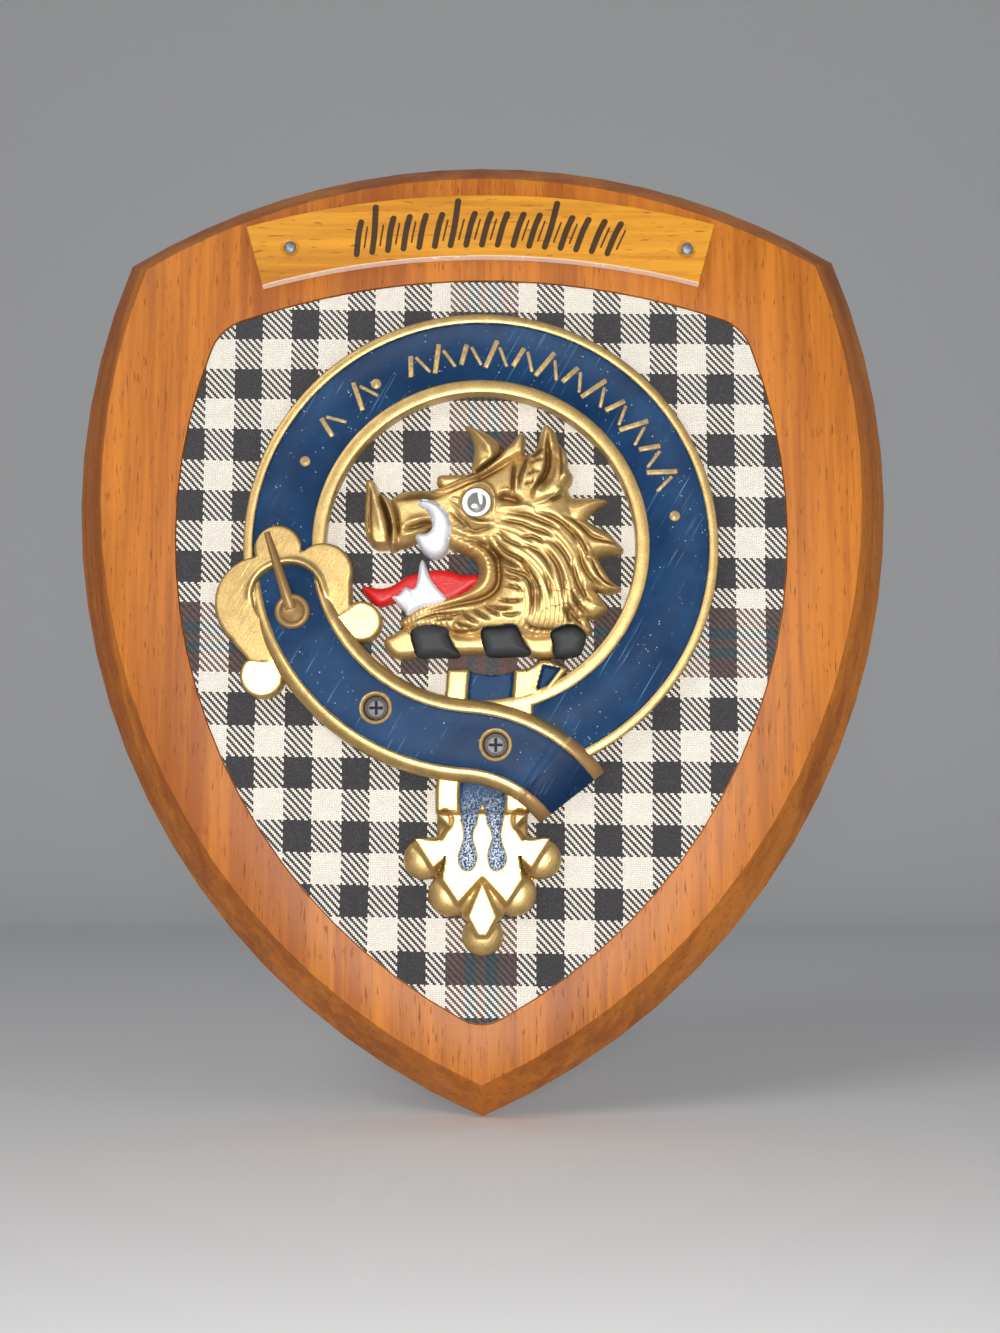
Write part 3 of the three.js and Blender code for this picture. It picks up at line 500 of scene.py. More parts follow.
def moulding_paint():
    """Navy belt with gilt borders and strokes, brushed by hand; the mark says where the gilt is."""
    p = Paint("belt_paint", Specular_IOR_Level=0.1)
    base, rough, _ = gold_nodes(p)
    wobble = p.math("MULTIPLY_ADD", p.noise(p.place, 320, 3, 0.6), 0.7, -0.35)
    gilt = p.range(p.plus(p.mark("gilt"), wobble), -0.1, 0.1)
    # fine scratches that run down to the left, and specks of grit under the blue painted pale as glints
    slanted = p.moved(turn=(0, math.radians(-30), 0))
    scratches = p.range(p.noise(p.moved(scale=(1, 1, 0.02), place=slanted), 1500, 2, 0.5), 0.63, 0.70)
    scratches = p.times(scratches, p.range(p.noise(p.place, 55, 2), 0.42, 0.6))
    cells = p.node("ShaderNodeTexVoronoi", Vector=p.place, Scale=900.0)
    grit_glint = p.range(cells.outputs["Distance"], 0.20, 0.12)
    grit_glint = p.times(grit_glint, p.range(p.noise(p.place, 500, 2), 0.56, 0.68))
    cloudy = p.noise(p.place, 60, 3, 0.6)
    blue = p.mix(p.range(cloudy, 0.3, 0.75), BLUE_DARK, BLUE_LIGHT)
    blue = p.mix(p.times(scratches, 0.8), blue, BLUE_SCRATCH)
    blue = p.mix(p.times(grit_glint, 0.75), blue, PALE_GRIT_GLINT)
    # painted glints in the slots of the metal end, spreading from one point low on it and thinner up the
    # hanging strap
    spread = p.range(p.reach((0, -0.024, -0.0735)), 0.026, 0.006)
    painted_glints = p.times(spread, p.range(p.noise(p.place, 2300, 2, 0.6), 0.47, 0.58))
    blue = p.mix(p.times(painted_glints, 0.85), blue, PALE_GRIT_GLINT)
    # rubbed and dull metal, painted shade on the strap's rolled end, and painted shade in the countersinks,
    # by the height of one mark
    dull_and_shade = p.range(p.mark("wear_and_shade"), 1.2, 1.8)
    blue = p.mix(p.times(dull_and_shade, 0.7), blue, BLUE_SHADE)
    base = p.mix(p.times(dull_and_shade, 0.8), base, GOLD_DULL_AND_SHADE)
    # painted shade in the countersinks
    base = p.mix(p.range(p.mark("wear_and_shade"), 2.2, 2.8), base, PAINTED_RECESS_SHADE)
    grain = p.noise(p.place, 900, 4, 0.7)
    height = p.math("MULTIPLY_ADD", grain, 0.5, p.times(scratches, 0.5))
    brushed = p.noise(p.moved(scale=(1, 1, 0.1), place=slanted), 900, 3, 0.6)
    height = p.plus(height, p.times(brushed, 0.6))
    chipped = p.less(p.range(p.mark("wear_and_shade"), 0.2, 0.8), dull_and_shade)
    wear_and_shade = p.times(chipped, p.range(p.noise(p.place, 800, 3, 0.7), 0.42, 0.58))
    gilt = p.times(gilt, p.less(1.0, p.times(wear_and_shade, 0.4)))
    return p.use(
        Base_Color=p.mix(gilt, blue, base),
        Metallic=p.times(gilt, p.range(p.mark("wear_and_shade"), 0.2, 0.8, 0.8, 0.3)),
        Roughness=p.plus(p.times(gilt, p.less(rough, 0.46)), 0.46),
        Normal=p.bump(height, 0.35, 0.0002))


def crest_paint():
    """Gold paint with white tusks and eye, a red tongue and black bulges on the wreath."""
    p = Paint("crest_paint", Specular_IOR_Level=0.3)
    base, rough, flakes = gold_nodes(p, (0.68, 0.46, 0.18))
    rough = p.plus(rough, 0.07)
    # painted shade: grooves and the ring round the eye socket are darker gold
    hollow = p.range(p.mark("hollow"), 0.08, 0.75)
    base = p.mix(p.times(hollow, 0.82), base, GOLD_GROOVE_SHADE)
    wobble = p.math("MULTIPLY_ADD", p.noise(p.place, 500, 3, 0.6), 0.4, -0.2)
    paints = [("tongue", TONGUE_RED, 0.38), ("tusk", TUSK_WHITE, 0.42), ("eye", EYE_WHITE, 0.3),
              ("iris", IRIS_GREY, 0.3), ("glint", EYE_WHITE, 0.3), ("black", WREATH_BLACK, 0.62)]
    metal = 0.8
    for mark, shade, gloss in paints:
        share = p.range(p.plus(p.mark(mark), wobble), -0.24, -0.06)
        base = p.mix(share, base, shade)
        metal = p.times(metal, p.less(1.0, share))
        rough = p.plus(p.times(rough, p.less(1.0, share)), p.times(share, gloss))
    # a web of fine cracks low on the cheek
    cells = p.node("ShaderNodeTexVoronoi", {"feature": "DISTANCE_TO_EDGE"}, Vector=p.place, Scale=210.0)
    area = p.range(p.reach((0.0225, -0.0285, 0.0035)), 0.0125, 0.007)
    cracks = p.times(p.range(cells.outputs["Distance"], 0.035, 0.012), area)
    cracks = p.times(cracks, p.range(p.noise(p.place, 170, 2), 0.42, 0.52))
    base = p.mix(p.times(cracks, 0.7), base, GOLD_CRACK)
    uneven = p.noise(p.place, 520, 4, 0.6)
    height = p.math("MULTIPLY_ADD", uneven, 0.9, p.math("MULTIPLY_ADD", flakes, 0.2, p.times(cracks, -0.8)))
    return p.use(Base_Color=base, Metallic=metal, Roughness=rough, Normal=p.bump(height, 0.4, 0.00035))


def oak_with_ink():
    """Varnished oak with black pen strokes, which the mark places."""
    p, base = wood("name_plate_oak", colour(0.60, 0.265, 0.019), colour(0.37, 0.135, 0.008),
                   colour(0.12, 0.04, 0.006), 0, 0.06)
    # the lower edge is paler; its arc is measured from the strip's own centre
    reach = p.reach((0, 0, PLATE_PIVOT_Z * MM), flat=True)
    lower = (PLATE_RADIUS - PLATE_WIDTH) * MM
    base = p.mix(p.range(reach, lower + 0.0005, lower + 0.0002), base, PALE_LOWER_EDGE)
    wobble = p.math("MULTIPLY_ADD", p.noise(p.place, 1800, 3, 0.7), 0.2, -0.1)
    ink = p.range(p.plus(p.mark("ink"), wobble), -0.06, 0.06)
    base = p.mix(p.times(ink, 0.93), base, INK_BLACK)
    return p.use(Base_Color=base)


def steel(name, tone, heads=()):
    """Dull plated steel; a countersunk head is browned round its rim, and its cross recess is painted dark
    as shade.
    """
    p = Paint(name, Metallic=0.75)
    mottle = p.noise(p.place, 1400, 3, 0.7)
    base = p.mix(p.range(mottle, 0.35, 0.7), colour(*[0.55 * c for c in tone]), colour(*tone))
    for x, z in heads:
        reach = p.reach((x * MM, 0, z * MM), flat=True)
        rim = p.times(p.range(reach, 0.0021, 0.0026), p.range(reach, 0.0042, 0.0038))
        base = p.mix(rim, base, HEAD_BROWN)
    if heads:
        # painted shade: the cross recess turns black with depth
        level = p.node("ShaderNodeSeparateXYZ", _0=p.place).outputs["Y"]
        recess_shade = p.range(level, (SCREW_FACE_Y + 0.15) * MM, (SCREW_FACE_Y + 0.6) * MM)
        base = p.mix(recess_shade, base, CROSS_RECESS_SHADE)
    return p.use(Base_Color=base, Roughness=p.math("MULTIPLY_ADD", mottle, 0.2, 0.42),
                 Normal=p.bump(mottle, 0.35 if heads else 0.2, 0.0001))


WHITE_YARN = colour(0.74, 0.69, 0.60)
BLACK_YARN = colour(0.018, 0.016, 0.020)
BROWN_YARN = colour(0.105, 0.052, 0.042)
TEAL_YARN = colour(0.018, 0.062, 0.075)
WARP_PITCH, WEFT_PITCH = 0.53, 0.56
CLOTH_LEAN_ACROSS, CLOTH_LEAN_UP = -0.0065, 0.0162
BLUE_DARK = colour(0.004, 0.022, 0.062)
BLUE_LIGHT = colour(0.009, 0.041, 0.104)
# painted shade on the strap's rolled end
BLUE_SHADE = colour(0.002, 0.012, 0.036)
# painted shade in the countersinks
PAINTED_RECESS_SHADE = colour(0.055, 0.043, 0.033)
# painted shade in the screws' cross recesses
CROSS_RECESS_SHADE = colour(0.006, 0.006, 0.007)
HEAD_BROWN = colour(0.045, 0.038, 0.032)
BLUE_SCRATCH = colour(0.10, 0.19, 0.32)
# pale glints painted on grit and in the slots of the metal end
PALE_GRIT_GLINT = colour(0.62, 0.68, 0.74)
# painted shade in the crest's grooves
GOLD_GROOVE_SHADE = colour(0.14, 0.07, 0.016)
# dull gold, also used as painted shade on the strap's rolled end
GOLD_DULL_AND_SHADE = colour(0.20, 0.11, 0.045)
GOLD_CRACK = colour(0.05, 0.025, 0.01)
TUSK_WHITE = colour(0.62, 0.64, 0.68)
EYE_WHITE = colour(0.74, 0.74, 0.72)
IRIS_GREY = colour(0.13, 0.135, 0.125)
TONGUE_RED = colour(0.45, 0.007, 0.006)
WREATH_BLACK = colour(0.028, 0.029, 0.031)
PALE_LOWER_EDGE = colour(0.80, 0.62, 0.50)
INK_BLACK = colour(0.010, 0.008, 0.007)


# Board, from the CAD's own mesh with its edges eased

BOARD_EASING, BOARD_CORNER = 0.45, math.radians(25)


def eased_board():
    bm = copy_of("shield_board", 0.4)
    bm.normal_update()
    corners = [e for e in bm.edges if len(e.link_faces) == 2 and e.calc_face_angle() > BOARD_CORNER]
    bmesh.ops.bevel(bm, geom=corners, offset=BOARD_EASING, segments=3, profile=0.5, affect="EDGES",
                    clamp_overlap=True, material=-1)
    split_large_faces(bm)
    return bm


# Boar's head: forms are outlines with a rounded shoulder; strokes are carved in or raised

EDGE = 2.2

SKULL = [(-9, 41.6), (-2, 45.2), (4, 48), (9, 50.2), (15, 50.2), (20, 50), (24, 46), (26.6, 40), (30, 31),
         (32.5, 26), (34, 18), (33.5, 8), (31.5, 1), (31.8, -5.5), (20, -6.5), (0, -6.5), (-6, -6),
         (-10, -2), (-6, 3), (0, 6), (3.4, 12), (1.5, 19), (-4, 21.5), (-9, 24), (-9, 33)]
JAW = [(-24.6, -1.9), (-22.6, 0.6), (-20, 2.9), (-15, 4.9), (-10, 6.1), (-6, 7.2), (-3, 9.3), (-1.2, 11.6),
       (-0.5, 14.4), (-1.6, 17.6), (-4.6, 20), (-1, 24), (7, 24), (14, 10), (12, -6), (-2, -6),
       (-10.2, -4.4), (-15.5, -3.2), (-20, -3.4)]
MUZZLE = [(-29.5, 36.4), (-27.6, 36.6), (-24.2, 38.8), (-19, 39.5), (-14, 39.6), (-9, 42), (-2, 45.2),
          (2, 44), (8, 34), (4, 22), (0, 20), (-3.4, 19), (-6, 20.2), (-9.8, 21.9), (-11.5, 23.6),
          (-15, 27.6), (-17, 25.2), (-20.5, 22.8), (-24.2, 21.6), (-28, 21.5)]
SNOUT = [(-34.9, 42.2), (-32.4, 42.1), (-31.3, 39.5), (-30, 37), (-28.4, 33), (-27.4, 28), (-27.3, 22.6),
         (-28.5, 21.4), (-32, 21.5), (-34.2, 23.6), (-35.3, 27.5), (-35.4, 33), (-35.1, 38)]
SNOUT_FOLD = [(-31, 38.2), (-28.2, 36.8), (-26.2, 33.4), (-25.1, 28.6), (-24.8, 23.4), (-25.2, 21.6),
              (-27.6, 21.6), (-27.9, 27), (-29, 32)]
BROW = [(-13.4, 43), (-12.4, 44.2), (-8, 44.4), (-4, 44.6), (-1, 46), (1, 43), (-5, 41), (-11, 39.8),
        (-13.2, 41.2)]
FORELOCK = [(-4.8, 59.6), (-2.4, 59.2), (1, 57.8), (4, 55.9), (5.9, 54), (6.1, 51.8), (5, 48), (0, 44.6),
            (-2.6, 45.2), (-2.3, 50), (-2.1, 53), (-3, 56.4)]
BROW_RIDGE = [(-15, 38.6), (-11, 40.8), (-4, 43.6), (0, 45.2), (4, 48.4), (7, 51.8), (9.4, 53.8),
              (11.4, 56.4), (12.9, 56.9), (13.8, 55.9), (13.6, 53), (13.1, 49.8), (10, 47.6), (5, 45),
              (0, 42.2), (-6, 39.8), (-11, 37.8)]
EAR = [(19.6, 59.7), (21.6, 58.9), (23.3, 56.6), (24.2, 53.6), (26.2, 51.3), (26.8, 48.6), (27, 46),
       (28.3, 43.6), (28, 41.8), (26.4, 39.8), (25.6, 37.4), (22, 35), (17.5, 33.6), (14.6, 34), (12.6, 38),
       (13, 44), (13.6, 50), (15.8, 50.8), (17.4, 53.2), (18.3, 57)]
MANE = [
    [(38.8, 35.9), (35, 36.9), (30, 37), (25, 36.8), (20, 34), (21, 29), (29, 27), (32.3, 29.4), (33, 31),
     (35.6, 33.6)],
    [(43.6, 20.6), (41.4, 23.4), (38.4, 26.2), (35, 28.2), (32, 29.8), (25, 33), (20, 31), (25, 22),
     (31, 16), (35.2, 18), (38, 18.8), (41.4, 19.2)],
    [(42.9, 8.8), (41, 10.2), (39, 12.2), (37, 15.6), (35.4, 18.6), (30, 24), (25, 20), (27, 10), (32, 5),
     (34.6, 8.4), (37, 7.5), (40.2, 7.4)],
    [(38.5, 2), (38.1, 3.6), (36.4, 6.4), (34.4, 8.8), (31, 14), (26, 12), (26, 2), (29, -3), (32.4, -0.4),
     (34.2, -0.4), (36.6, 0.5)],
    [(33.7, -4.8), (33.3, -2), (32.2, 0.4), (29, 5), (25, 2), (26, -6), (31, -5.6)],
]
UPPER_TUSK = [(-18.9, 34.7), (-17.4, 35.7), (-15, 35.3), (-12.4, 33.9), (-10.4, 31.6), (-9.3, 28.8),
              (-9.1, 25.8), (-9.7, 23), (-10, 20.9), (-11.4, 19.2), (-13.5, 18.4), (-15.6, 18.8),
              (-17.6, 20.4), (-18.9, 22.6), (-19.5, 24.4), (-18.6, 25.2), (-16.6, 25.7), (-15.1, 26.8),
              (-14.6, 28.4), (-15, 30.8), (-16.2, 32.4), (-18, 33.5)]
LOWER_TUSK = [(-18, 18), (-17.2, 17.6), (-16.4, 15.6), (-15.2, 12.4), (-13.3, 9.6), (-10.4, 6.3),
              (-10.6, 4.6), (-14, 3.4), (-18, 2.6), (-22, 0.6), (-23.4, 2.6), (-26.9, 6), (-26.4, 6.9),
              (-24.9, 7.2), (-23.6, 8.8), (-22.6, 9.6), (-21, 8.9), (-19.8, 9.9), (-19.1, 12.6),
              (-18.8, 16)]
TONGUE = [(-36.3, 9.4), (-34, 10), (-31, 9.4), (-28, 9.8), (-25.4, 11.2), (-22.4, 13.2), (-18.8, 14.1),
          (-15.6, 14.9), (-12, 15.1), (-8, 14.4), (-5.4, 13.5), (-1, 13.5), (0, 11), (-3, 8.6), (-8, 5.6),
          (-14, 4.2), (-20, 4), (-26.6, 4.8), (-28, 4.3), (-30.6, 3.7), (-32.6, 4.6), (-34.4, 6.6)]

# outline, height of the middle, width of the shoulder
HEAD_FORMS = [
    (SKULL, 8.4, 9.0), (MUZZLE, 7.6, 4.6), (SNOUT, 8.4, 1.8), (SNOUT_FOLD, 8.0, 1.8), (BROW, 5.0, 2.4),
    (FORELOCK, 6.2, 4.0), (BROW_RIDGE, 8.4, 2.2), (EAR, 8.8, 4.4), (MANE[0], 6.4, 4.2), (MANE[1], 8.0, 4.4),
    (MANE[2], 7.2, 4.2), (MANE[3], 6.4, 3.6), (MANE[4], 5.6, 3.0),
]

WREATH_GOLD = [
    [(-29.4, -7.3), (-28.5, -5.8), (-26.4, -4.8), (-24.4, -3.5), (-21.5, -2.9), (-19, -5), (-18, -11),
     (-20.4, -12), (-24, -12.3), (-26.2, -11.8), (-28.4, -10)],
    [(-11, -4.2), (-7, -5), (-2, -5.1), (1, -4.4), (3, -7), (3, -10.8), (-2, -11), (-8.4, -10.9),
     (-10, -8)],
    [(10.4, -3.8), (14, -4.6), (18, -5), (22, -4.6), (23.6, -7), (22.6, -11.4), (19.4, -12.4),
     (14.4, -11.6), (12, -8)],
]
WREATH_BLACK_FORMS = [
    [(-20.7, -3.6), (-19, -2.7), (-15.5, -2.2), (-12.4, -2.6), (-10, -3.6), (-9.6, -5.6), (-8.2, -8.6),
     (-6.3, -11.7), (-12, -11.9), (-18.8, -11.8), (-20.2, -9), (-21, -6)],
    [(0.4, -3.9), (2, -3), (6, -2.8), (8.2, -2.4), (10.4, -2.7), (11.6, -4.2), (13, -7.4), (15, -11.2),
     (9, -11.7), (2.5, -11.6), (0.9, -9), (0.2, -6)],
    [(21.1, -5), (23, -3.5), (26, -2.6), (28.6, -2.7), (30.6, -4), (31.8, -5.4), (31.5, -8), (30.4, -10.6),
     (28.6, -11.8), (22.6, -12), (21.6, -8)],
]

# ellipses: middle, half width, half height, lean
EYE_ACROSS = 4.15
EYE = ((-1.2, 34.85), EYE_ACROSS, 4.2, -24)
IRIS = ((-1.1, 34.8), 2.75, 2.95, -12)
GLINTS = [((-0.1, 36.7), 0.5, 1.9, 8), ((-1.9, 33.6), 0.75, 0.5, 0)]

JAW_HINGE, HAIR_PITCH, HAIR_RISE = (2, 3), 1.5, 0.09
HEAD_BOX = (-37.5, -13.5, 45.2, 61)

# points, half width, rise; a groove has rise < 0
HEAD_STROKES = [
    # snout
    ([(-33.4, 41.5), (-33.5, 36), (-33.6, 30), (-33.2, 25), (-32.2, 22)], 0.9, -1.0),
    ([(-31.4, 39), (-29.4, 34), (-27.9, 29.5), (-27.4, 25.5), (-27.5, 22)], 1.0, -1.9),
    ([(-31.6, 36), (-30.7, 31.5), (-30.2, 28.5), (-29.6, 25.5)], 1.6, 0.8),
    ([(-34.3, 31), (-34.1, 27.4), (-33.4, 24.6)], 1.0, 0.4),
    ([(-27.6, 36.8), (-25.9, 33), (-25, 28.5), (-24.8, 23)], 0.8, -1.6),
    # gum fold, and the bevels along the muzzle
    ([(-23.6, 28), (-20.5, 29.3), (-17.5, 29.8), (-13.5, 29.9)], 1.3, 0.9),
    ([(-23.4, 26.6), (-19.5, 27.6), (-16.5, 28.7), (-13.6, 28.8)], 1.0, -1.2),
    ([(-24.4, 24.6), (-21, 25.2), (-18.6, 26.1), (-15.2, 26.9)], 1.0, 0.8),
    ([(-26.4, 35.4), (-22.5, 36.3), (-18, 36.8), (-14, 36.4), (-10.5, 37.2)], 1.3, -0.4),
    # brow
    ([(-12, 37.2), (-7, 39.1), (-2, 41.2), (3, 43.8), (8, 46.6), (10.8, 48.8)], 1.0, -1.2),
    ([(-5.4, 42), (-1, 44.8), (3.2, 47.7), (6.4, 50.6), (9, 53.4)], 0.9, -1.3),
    ([(-4.2, 58.4), (-1, 56), (1.8, 53.4), (3.3, 50.4), (3.8, 48.6)], 1.6, 1.1),
    ([(-1.2, 45.8), (1.6, 48), (3.8, 49.4)], 1.2, 0.6),
    # cords of the temple
    ([(9.7, 36.5), (9.8, 41), (10.1, 45), (10.4, 48.4)], 0.8, -1.1),
    ([(10.7, 36.6), (10.8, 41), (11.5, 44.6), (12.5, 47.6), (12.6, 51), (12.9, 55)], 0.9, 0.9),
    ([(12.3, 38.6), (12.1, 42), (13.4, 46), (14.4, 50)], 0.8, -0.8),
    ([(14.6, 46.4), (17.2, 47.8), (19.8, 48.2)], 0.9, -0.45),
    ([(14, 43.2), (16.4, 44.3), (18.8, 44.3)], 0.8, -0.35),
    ([(13.2, 40), (15, 41), (16.6, 40.6)], 0.8, -0.35),
    ([(15.4, 48.4), (17.6, 50.2), (19.4, 51.6)], 0.9, -0.45),
    # ear
    ([(20.6, 58.4), (20.4, 54), (20.5, 49), (20.2, 45.4), (18.8, 42.2), (16.8, 39.6), (15.8, 37.4),
      (16.2, 35.8)], 0.9, -2.3),
    ([(22, 53), (21.9, 47), (20.6, 42.4), (18.2, 37.8)], 2.6, -1.3),
    ([(23.8, 53), (24.8, 48.6), (24.7, 44.6), (23.8, 41)], 0.8, -0.6),
    ([(25.2, 51.6), (25.9, 47.4), (25.6, 44.4), (26.4, 42.4)], 0.8, 0.5),
    ([(15.4, 34.2), (18.4, 34.6), (21.6, 36.3), (24.2, 38.6), (26.2, 41)], 1.0, 0.9),
    ([(20.4, 35), (23, 36), (25.2, 37.6)], 0.8, -0.7),
    # hollow behind the eye, and the lids
    ([(4.6, 36), (7.6, 36.2), (10.4, 35.4), (13, 34.4)], 1.7, -2.2),
    ([(5.4, 37.8), (7.8, 38.4), (9.4, 38.1)], 0.9, 0.5),
    ([(5, 32.6), (9, 33.2), (13, 33.4), (16.4, 32.6)], 1.1, 0.6),
    ([(-9.9, 36.4), (-6.6, 38.6), (-3.4, 40.2), (0, 40.7), (2.6, 39.4), (4, 36.6), (4.2, 33.4), (3.6, 31)],
      0.8, 1.0),
    ([(-9.4, 35.4), (-7, 33), (-4.4, 30.8), (-2.4, 28.8), (1, 28.2), (4.4, 28.7)], 0.8, 0.8),
    ([(-5.2, 32.2), (-2.6, 30), (0.6, 29.4), (3.2, 29.8)], 0.9, -0.7),
    ([(-9, 36.4), (-7.2, 35.8), (-5.6, 35.4)], 0.5, 0.5),
    # between the eye and the mouth
    ([(-9.5, 32.6), (-6.6, 30), (-4, 27.6), (-1.6, 26.2)], 1.1, -0.5),
    ([(-9.8, 27.6), (-7, 26.4), (-4.4, 24.6), (-2.4, 23)], 1.2, 0.5),
    ([(-4.6, 27), (-2, 26), (1, 26.4), (4.4, 27.2)], 0.9, -0.8),
    ([(-9.4, 25.2), (-4, 23.8), (0.6, 22), (4.4, 18.4), (5.5, 14), (5.2, 9.6), (2.8, 6.8), (-1.4, 5),
      (-8, 3.5), (-15, 1.6), (-19, -0.2)], 1.4, -1.9),
    # lip round the mouth
    ([(-10.4, 23), (-4.6, 21.4), (-0.4, 19.4), (1.7, 16), (1.9, 12.4), (0.4, 9.4), (-3, 7.2), (-9, 5.2),
      (-15, 3.6), (-20, 1.6), (-24, -1.4)], 2.2, 1.5),
    ([(-21.6, -1.2), (-17, 0.6), (-11, 2.2), (-5, 3.7), (0, 5)], 1.0, 0.8),
    # strands on the jaw
    ([(-19.4, -1.2), (-14, 0.6), (-8, 0.9), (-2.6, 2.7)], 0.9, -0.9),
    ([(-15, -1.2), (-11, -0.3), (-7.2, -0.7)], 0.7, -0.7),
    ([(-6, 1.6), (-3.4, -0.6), (-0.6, -2.4)], 0.8, -0.9),
    ([(-2.8, 2.8), (0.2, 0.4), (3, -1.4)], 0.8, -0.9),
    ([(0.8, 3.8), (3.2, 1.8), (6, -0.3)], 0.8, -0.9),
    ([(-8.6, -1.4), (-5.4, -2.9), (-1.8, -3.4)], 0.8, -0.8),
    ([(2, 3.2), (6, 2.2), (9.8, 2.3)], 0.7, -1.0),
    ([(5, 5.2), (8.8, 4.4), (13, 4.7)], 0.7, -0.9),
    ([(6, 0.6), (9.4, 0.2), (12.2, 0.9)], 0.7, -0.7),
    # the long strands of the cheek, round the hinge of the jaw
    ([(3.4, 24.4), (5.6, 21.4), (8.4, 19), (12.4, 16.6), (15, 13)], 0.9, -1.0),
    ([(4.8, 26.4), (7.4, 23.6), (10.6, 21.8), (14.4, 20.4)], 0.9, -0.7),
    ([(1.8, 23.6), (4, 20), (6.8, 17.2), (10, 15.2), (13.4, 14)], 1.0, -1.5),
    ([(5.4, 16.8), (8.4, 14), (11.8, 12.8), (14.4, 11.2), (15.5, 8), (15.6, 4), (15, 0)], 1.0, -1.4),
    ([(6.4, 12.8), (9.4, 11.6), (13, 10.6)], 0.8, -0.8),
    ([(6.4, 9), (9.6, 8.8), (13.4, 7.4)], 0.8, -0.6),
    ([(11.6, 17.6), (14.4, 13.8), (16.6, 10), (17.4, 6), (17.2, 1)], 1.0, -1.1),
    ([(12.6, 21.6), (17.6, 19.4), (20.8, 15.2), (22, 11)], 1.0, -0.9),
    ([(17.2, 21.6), (20.8, 18.4), (23.4, 14.4), (24.8, 9), (24.6, 5)], 1.0, -1.0),
    ([(19.4, 23.8), (23.4, 21), (26.2, 17), (27.6, 12)], 0.9, -0.8),
    ([(18.8, 13.4), (20.4, 9.6), (21.4, 5)], 0.9, -0.6),
    ([(12.4, 27.6), (17.2, 26.2), (22.4, 24)], 0.9, -0.8),
    ([(11.6, 24), (16, 23.8), (20.4, 22)], 0.9, -0.7),
    ([(6, 29.2), (11, 28.4), (15.6, 27.4)], 0.9, -0.7),
    ([(8, 31.4), (14, 30.6), (18.6, 28.8), (24.4, 26.2)], 1.0, -1.0),
    ([(16, 31.8), (22, 30), (26.6, 26.6), (29.6, 21.6)], 1.0, -1.1),
    # strands of the mane
    ([(24.6, 31.2), (29.6, 28.4), (33.4, 24.6), (37, 23.2), (42, 21.8)], 1.0, -1.2),
    ([(27, 27), (30.4, 22.6), (32.6, 17)], 0.9, -1.1),
    ([(28.6, 25.4), (32.4, 20.4), (34.6, 17)], 0.9, 0.7),
    ([(29.6, 21), (30.8, 16), (33.4, 11.6), (37.6, 8.8)], 0.9, -1.1),
    ([(33.4, 18.4), (35.2, 14), (37.6, 10.8), (41, 8.9)], 0.8, -0.9),
    ([(27.6, 17.6), (29, 11), (31.4, 6.6), (34.6, 3.2)], 1.0, -1.2),
    ([(30.4, 9.6), (32.4, 5.4), (35.4, 2.6)], 0.8, 0.6),
    ([(27.4, 7.6), (29.6, 3.4), (33, 0.4)], 0.9, -1.1),
    ([(26.4, 4.4), (28, 0.6), (31, -3)], 0.9, -1.0),
    ([(24.6, 2.8), (26.4, 1), (27, -2.6)], 1.2, -1.2),
    # fold of the neck
    ([(13, -0.8), (15, -3.2), (19, -4), (23.6, -3.6)], 0.8, -0.8),
    ([(-10, -3.6), (-6, -4.4), (-2, -4.2), (1, -3)], 0.7, -0.7),
]
TUSK_STROKES = [
    ([(-22.6, 8.9), (-21.4, 6.6), (-20, 4.4)], 0.7, 0.7),
    ([(-21, 8), (-19.6, 5.6), (-18.2, 3.8)], 0.6, -0.8),
    ([(-18.7, 11), (-17.2, 7.4), (-15.4, 4.6)], 0.6, -0.8),
    ([(-25.4, 6.6), (-23.4, 4.6), (-21.6, 2.2)], 0.7, -0.6),
    ([(-18.6, 24.4), (-15.8, 25.2), (-13.6, 26.6), (-12.6, 29.2)], 1.0, -0.5),
    ([(-17.4, 34.2), (-14, 33.4), (-11.6, 30.6)], 0.8, 0.4),
]

# mark, outline, height of the middle, width of the shoulder, height of the edge
MOUTH_FORMS = [("tongue", TONGUE, 4.2, 2.2, 1.6), ("lower", LOWER_TUSK, 7.0, 1.8, 1.8),
               ("upper", UPPER_TUSK, 9.4, 2.0, 4.4)]


def head_depth(x, z):
    outlines = [form[0] for form in HEAD_FORMS] + [JAW, TONGUE, LOWER_TUSK, UPPER_TUSK]
    outlines += WREATH_GOLD + WREATH_BLACK_FORMS
    return np.maximum.reduce([outline_depth(x, z, outline) for outline in outlines])


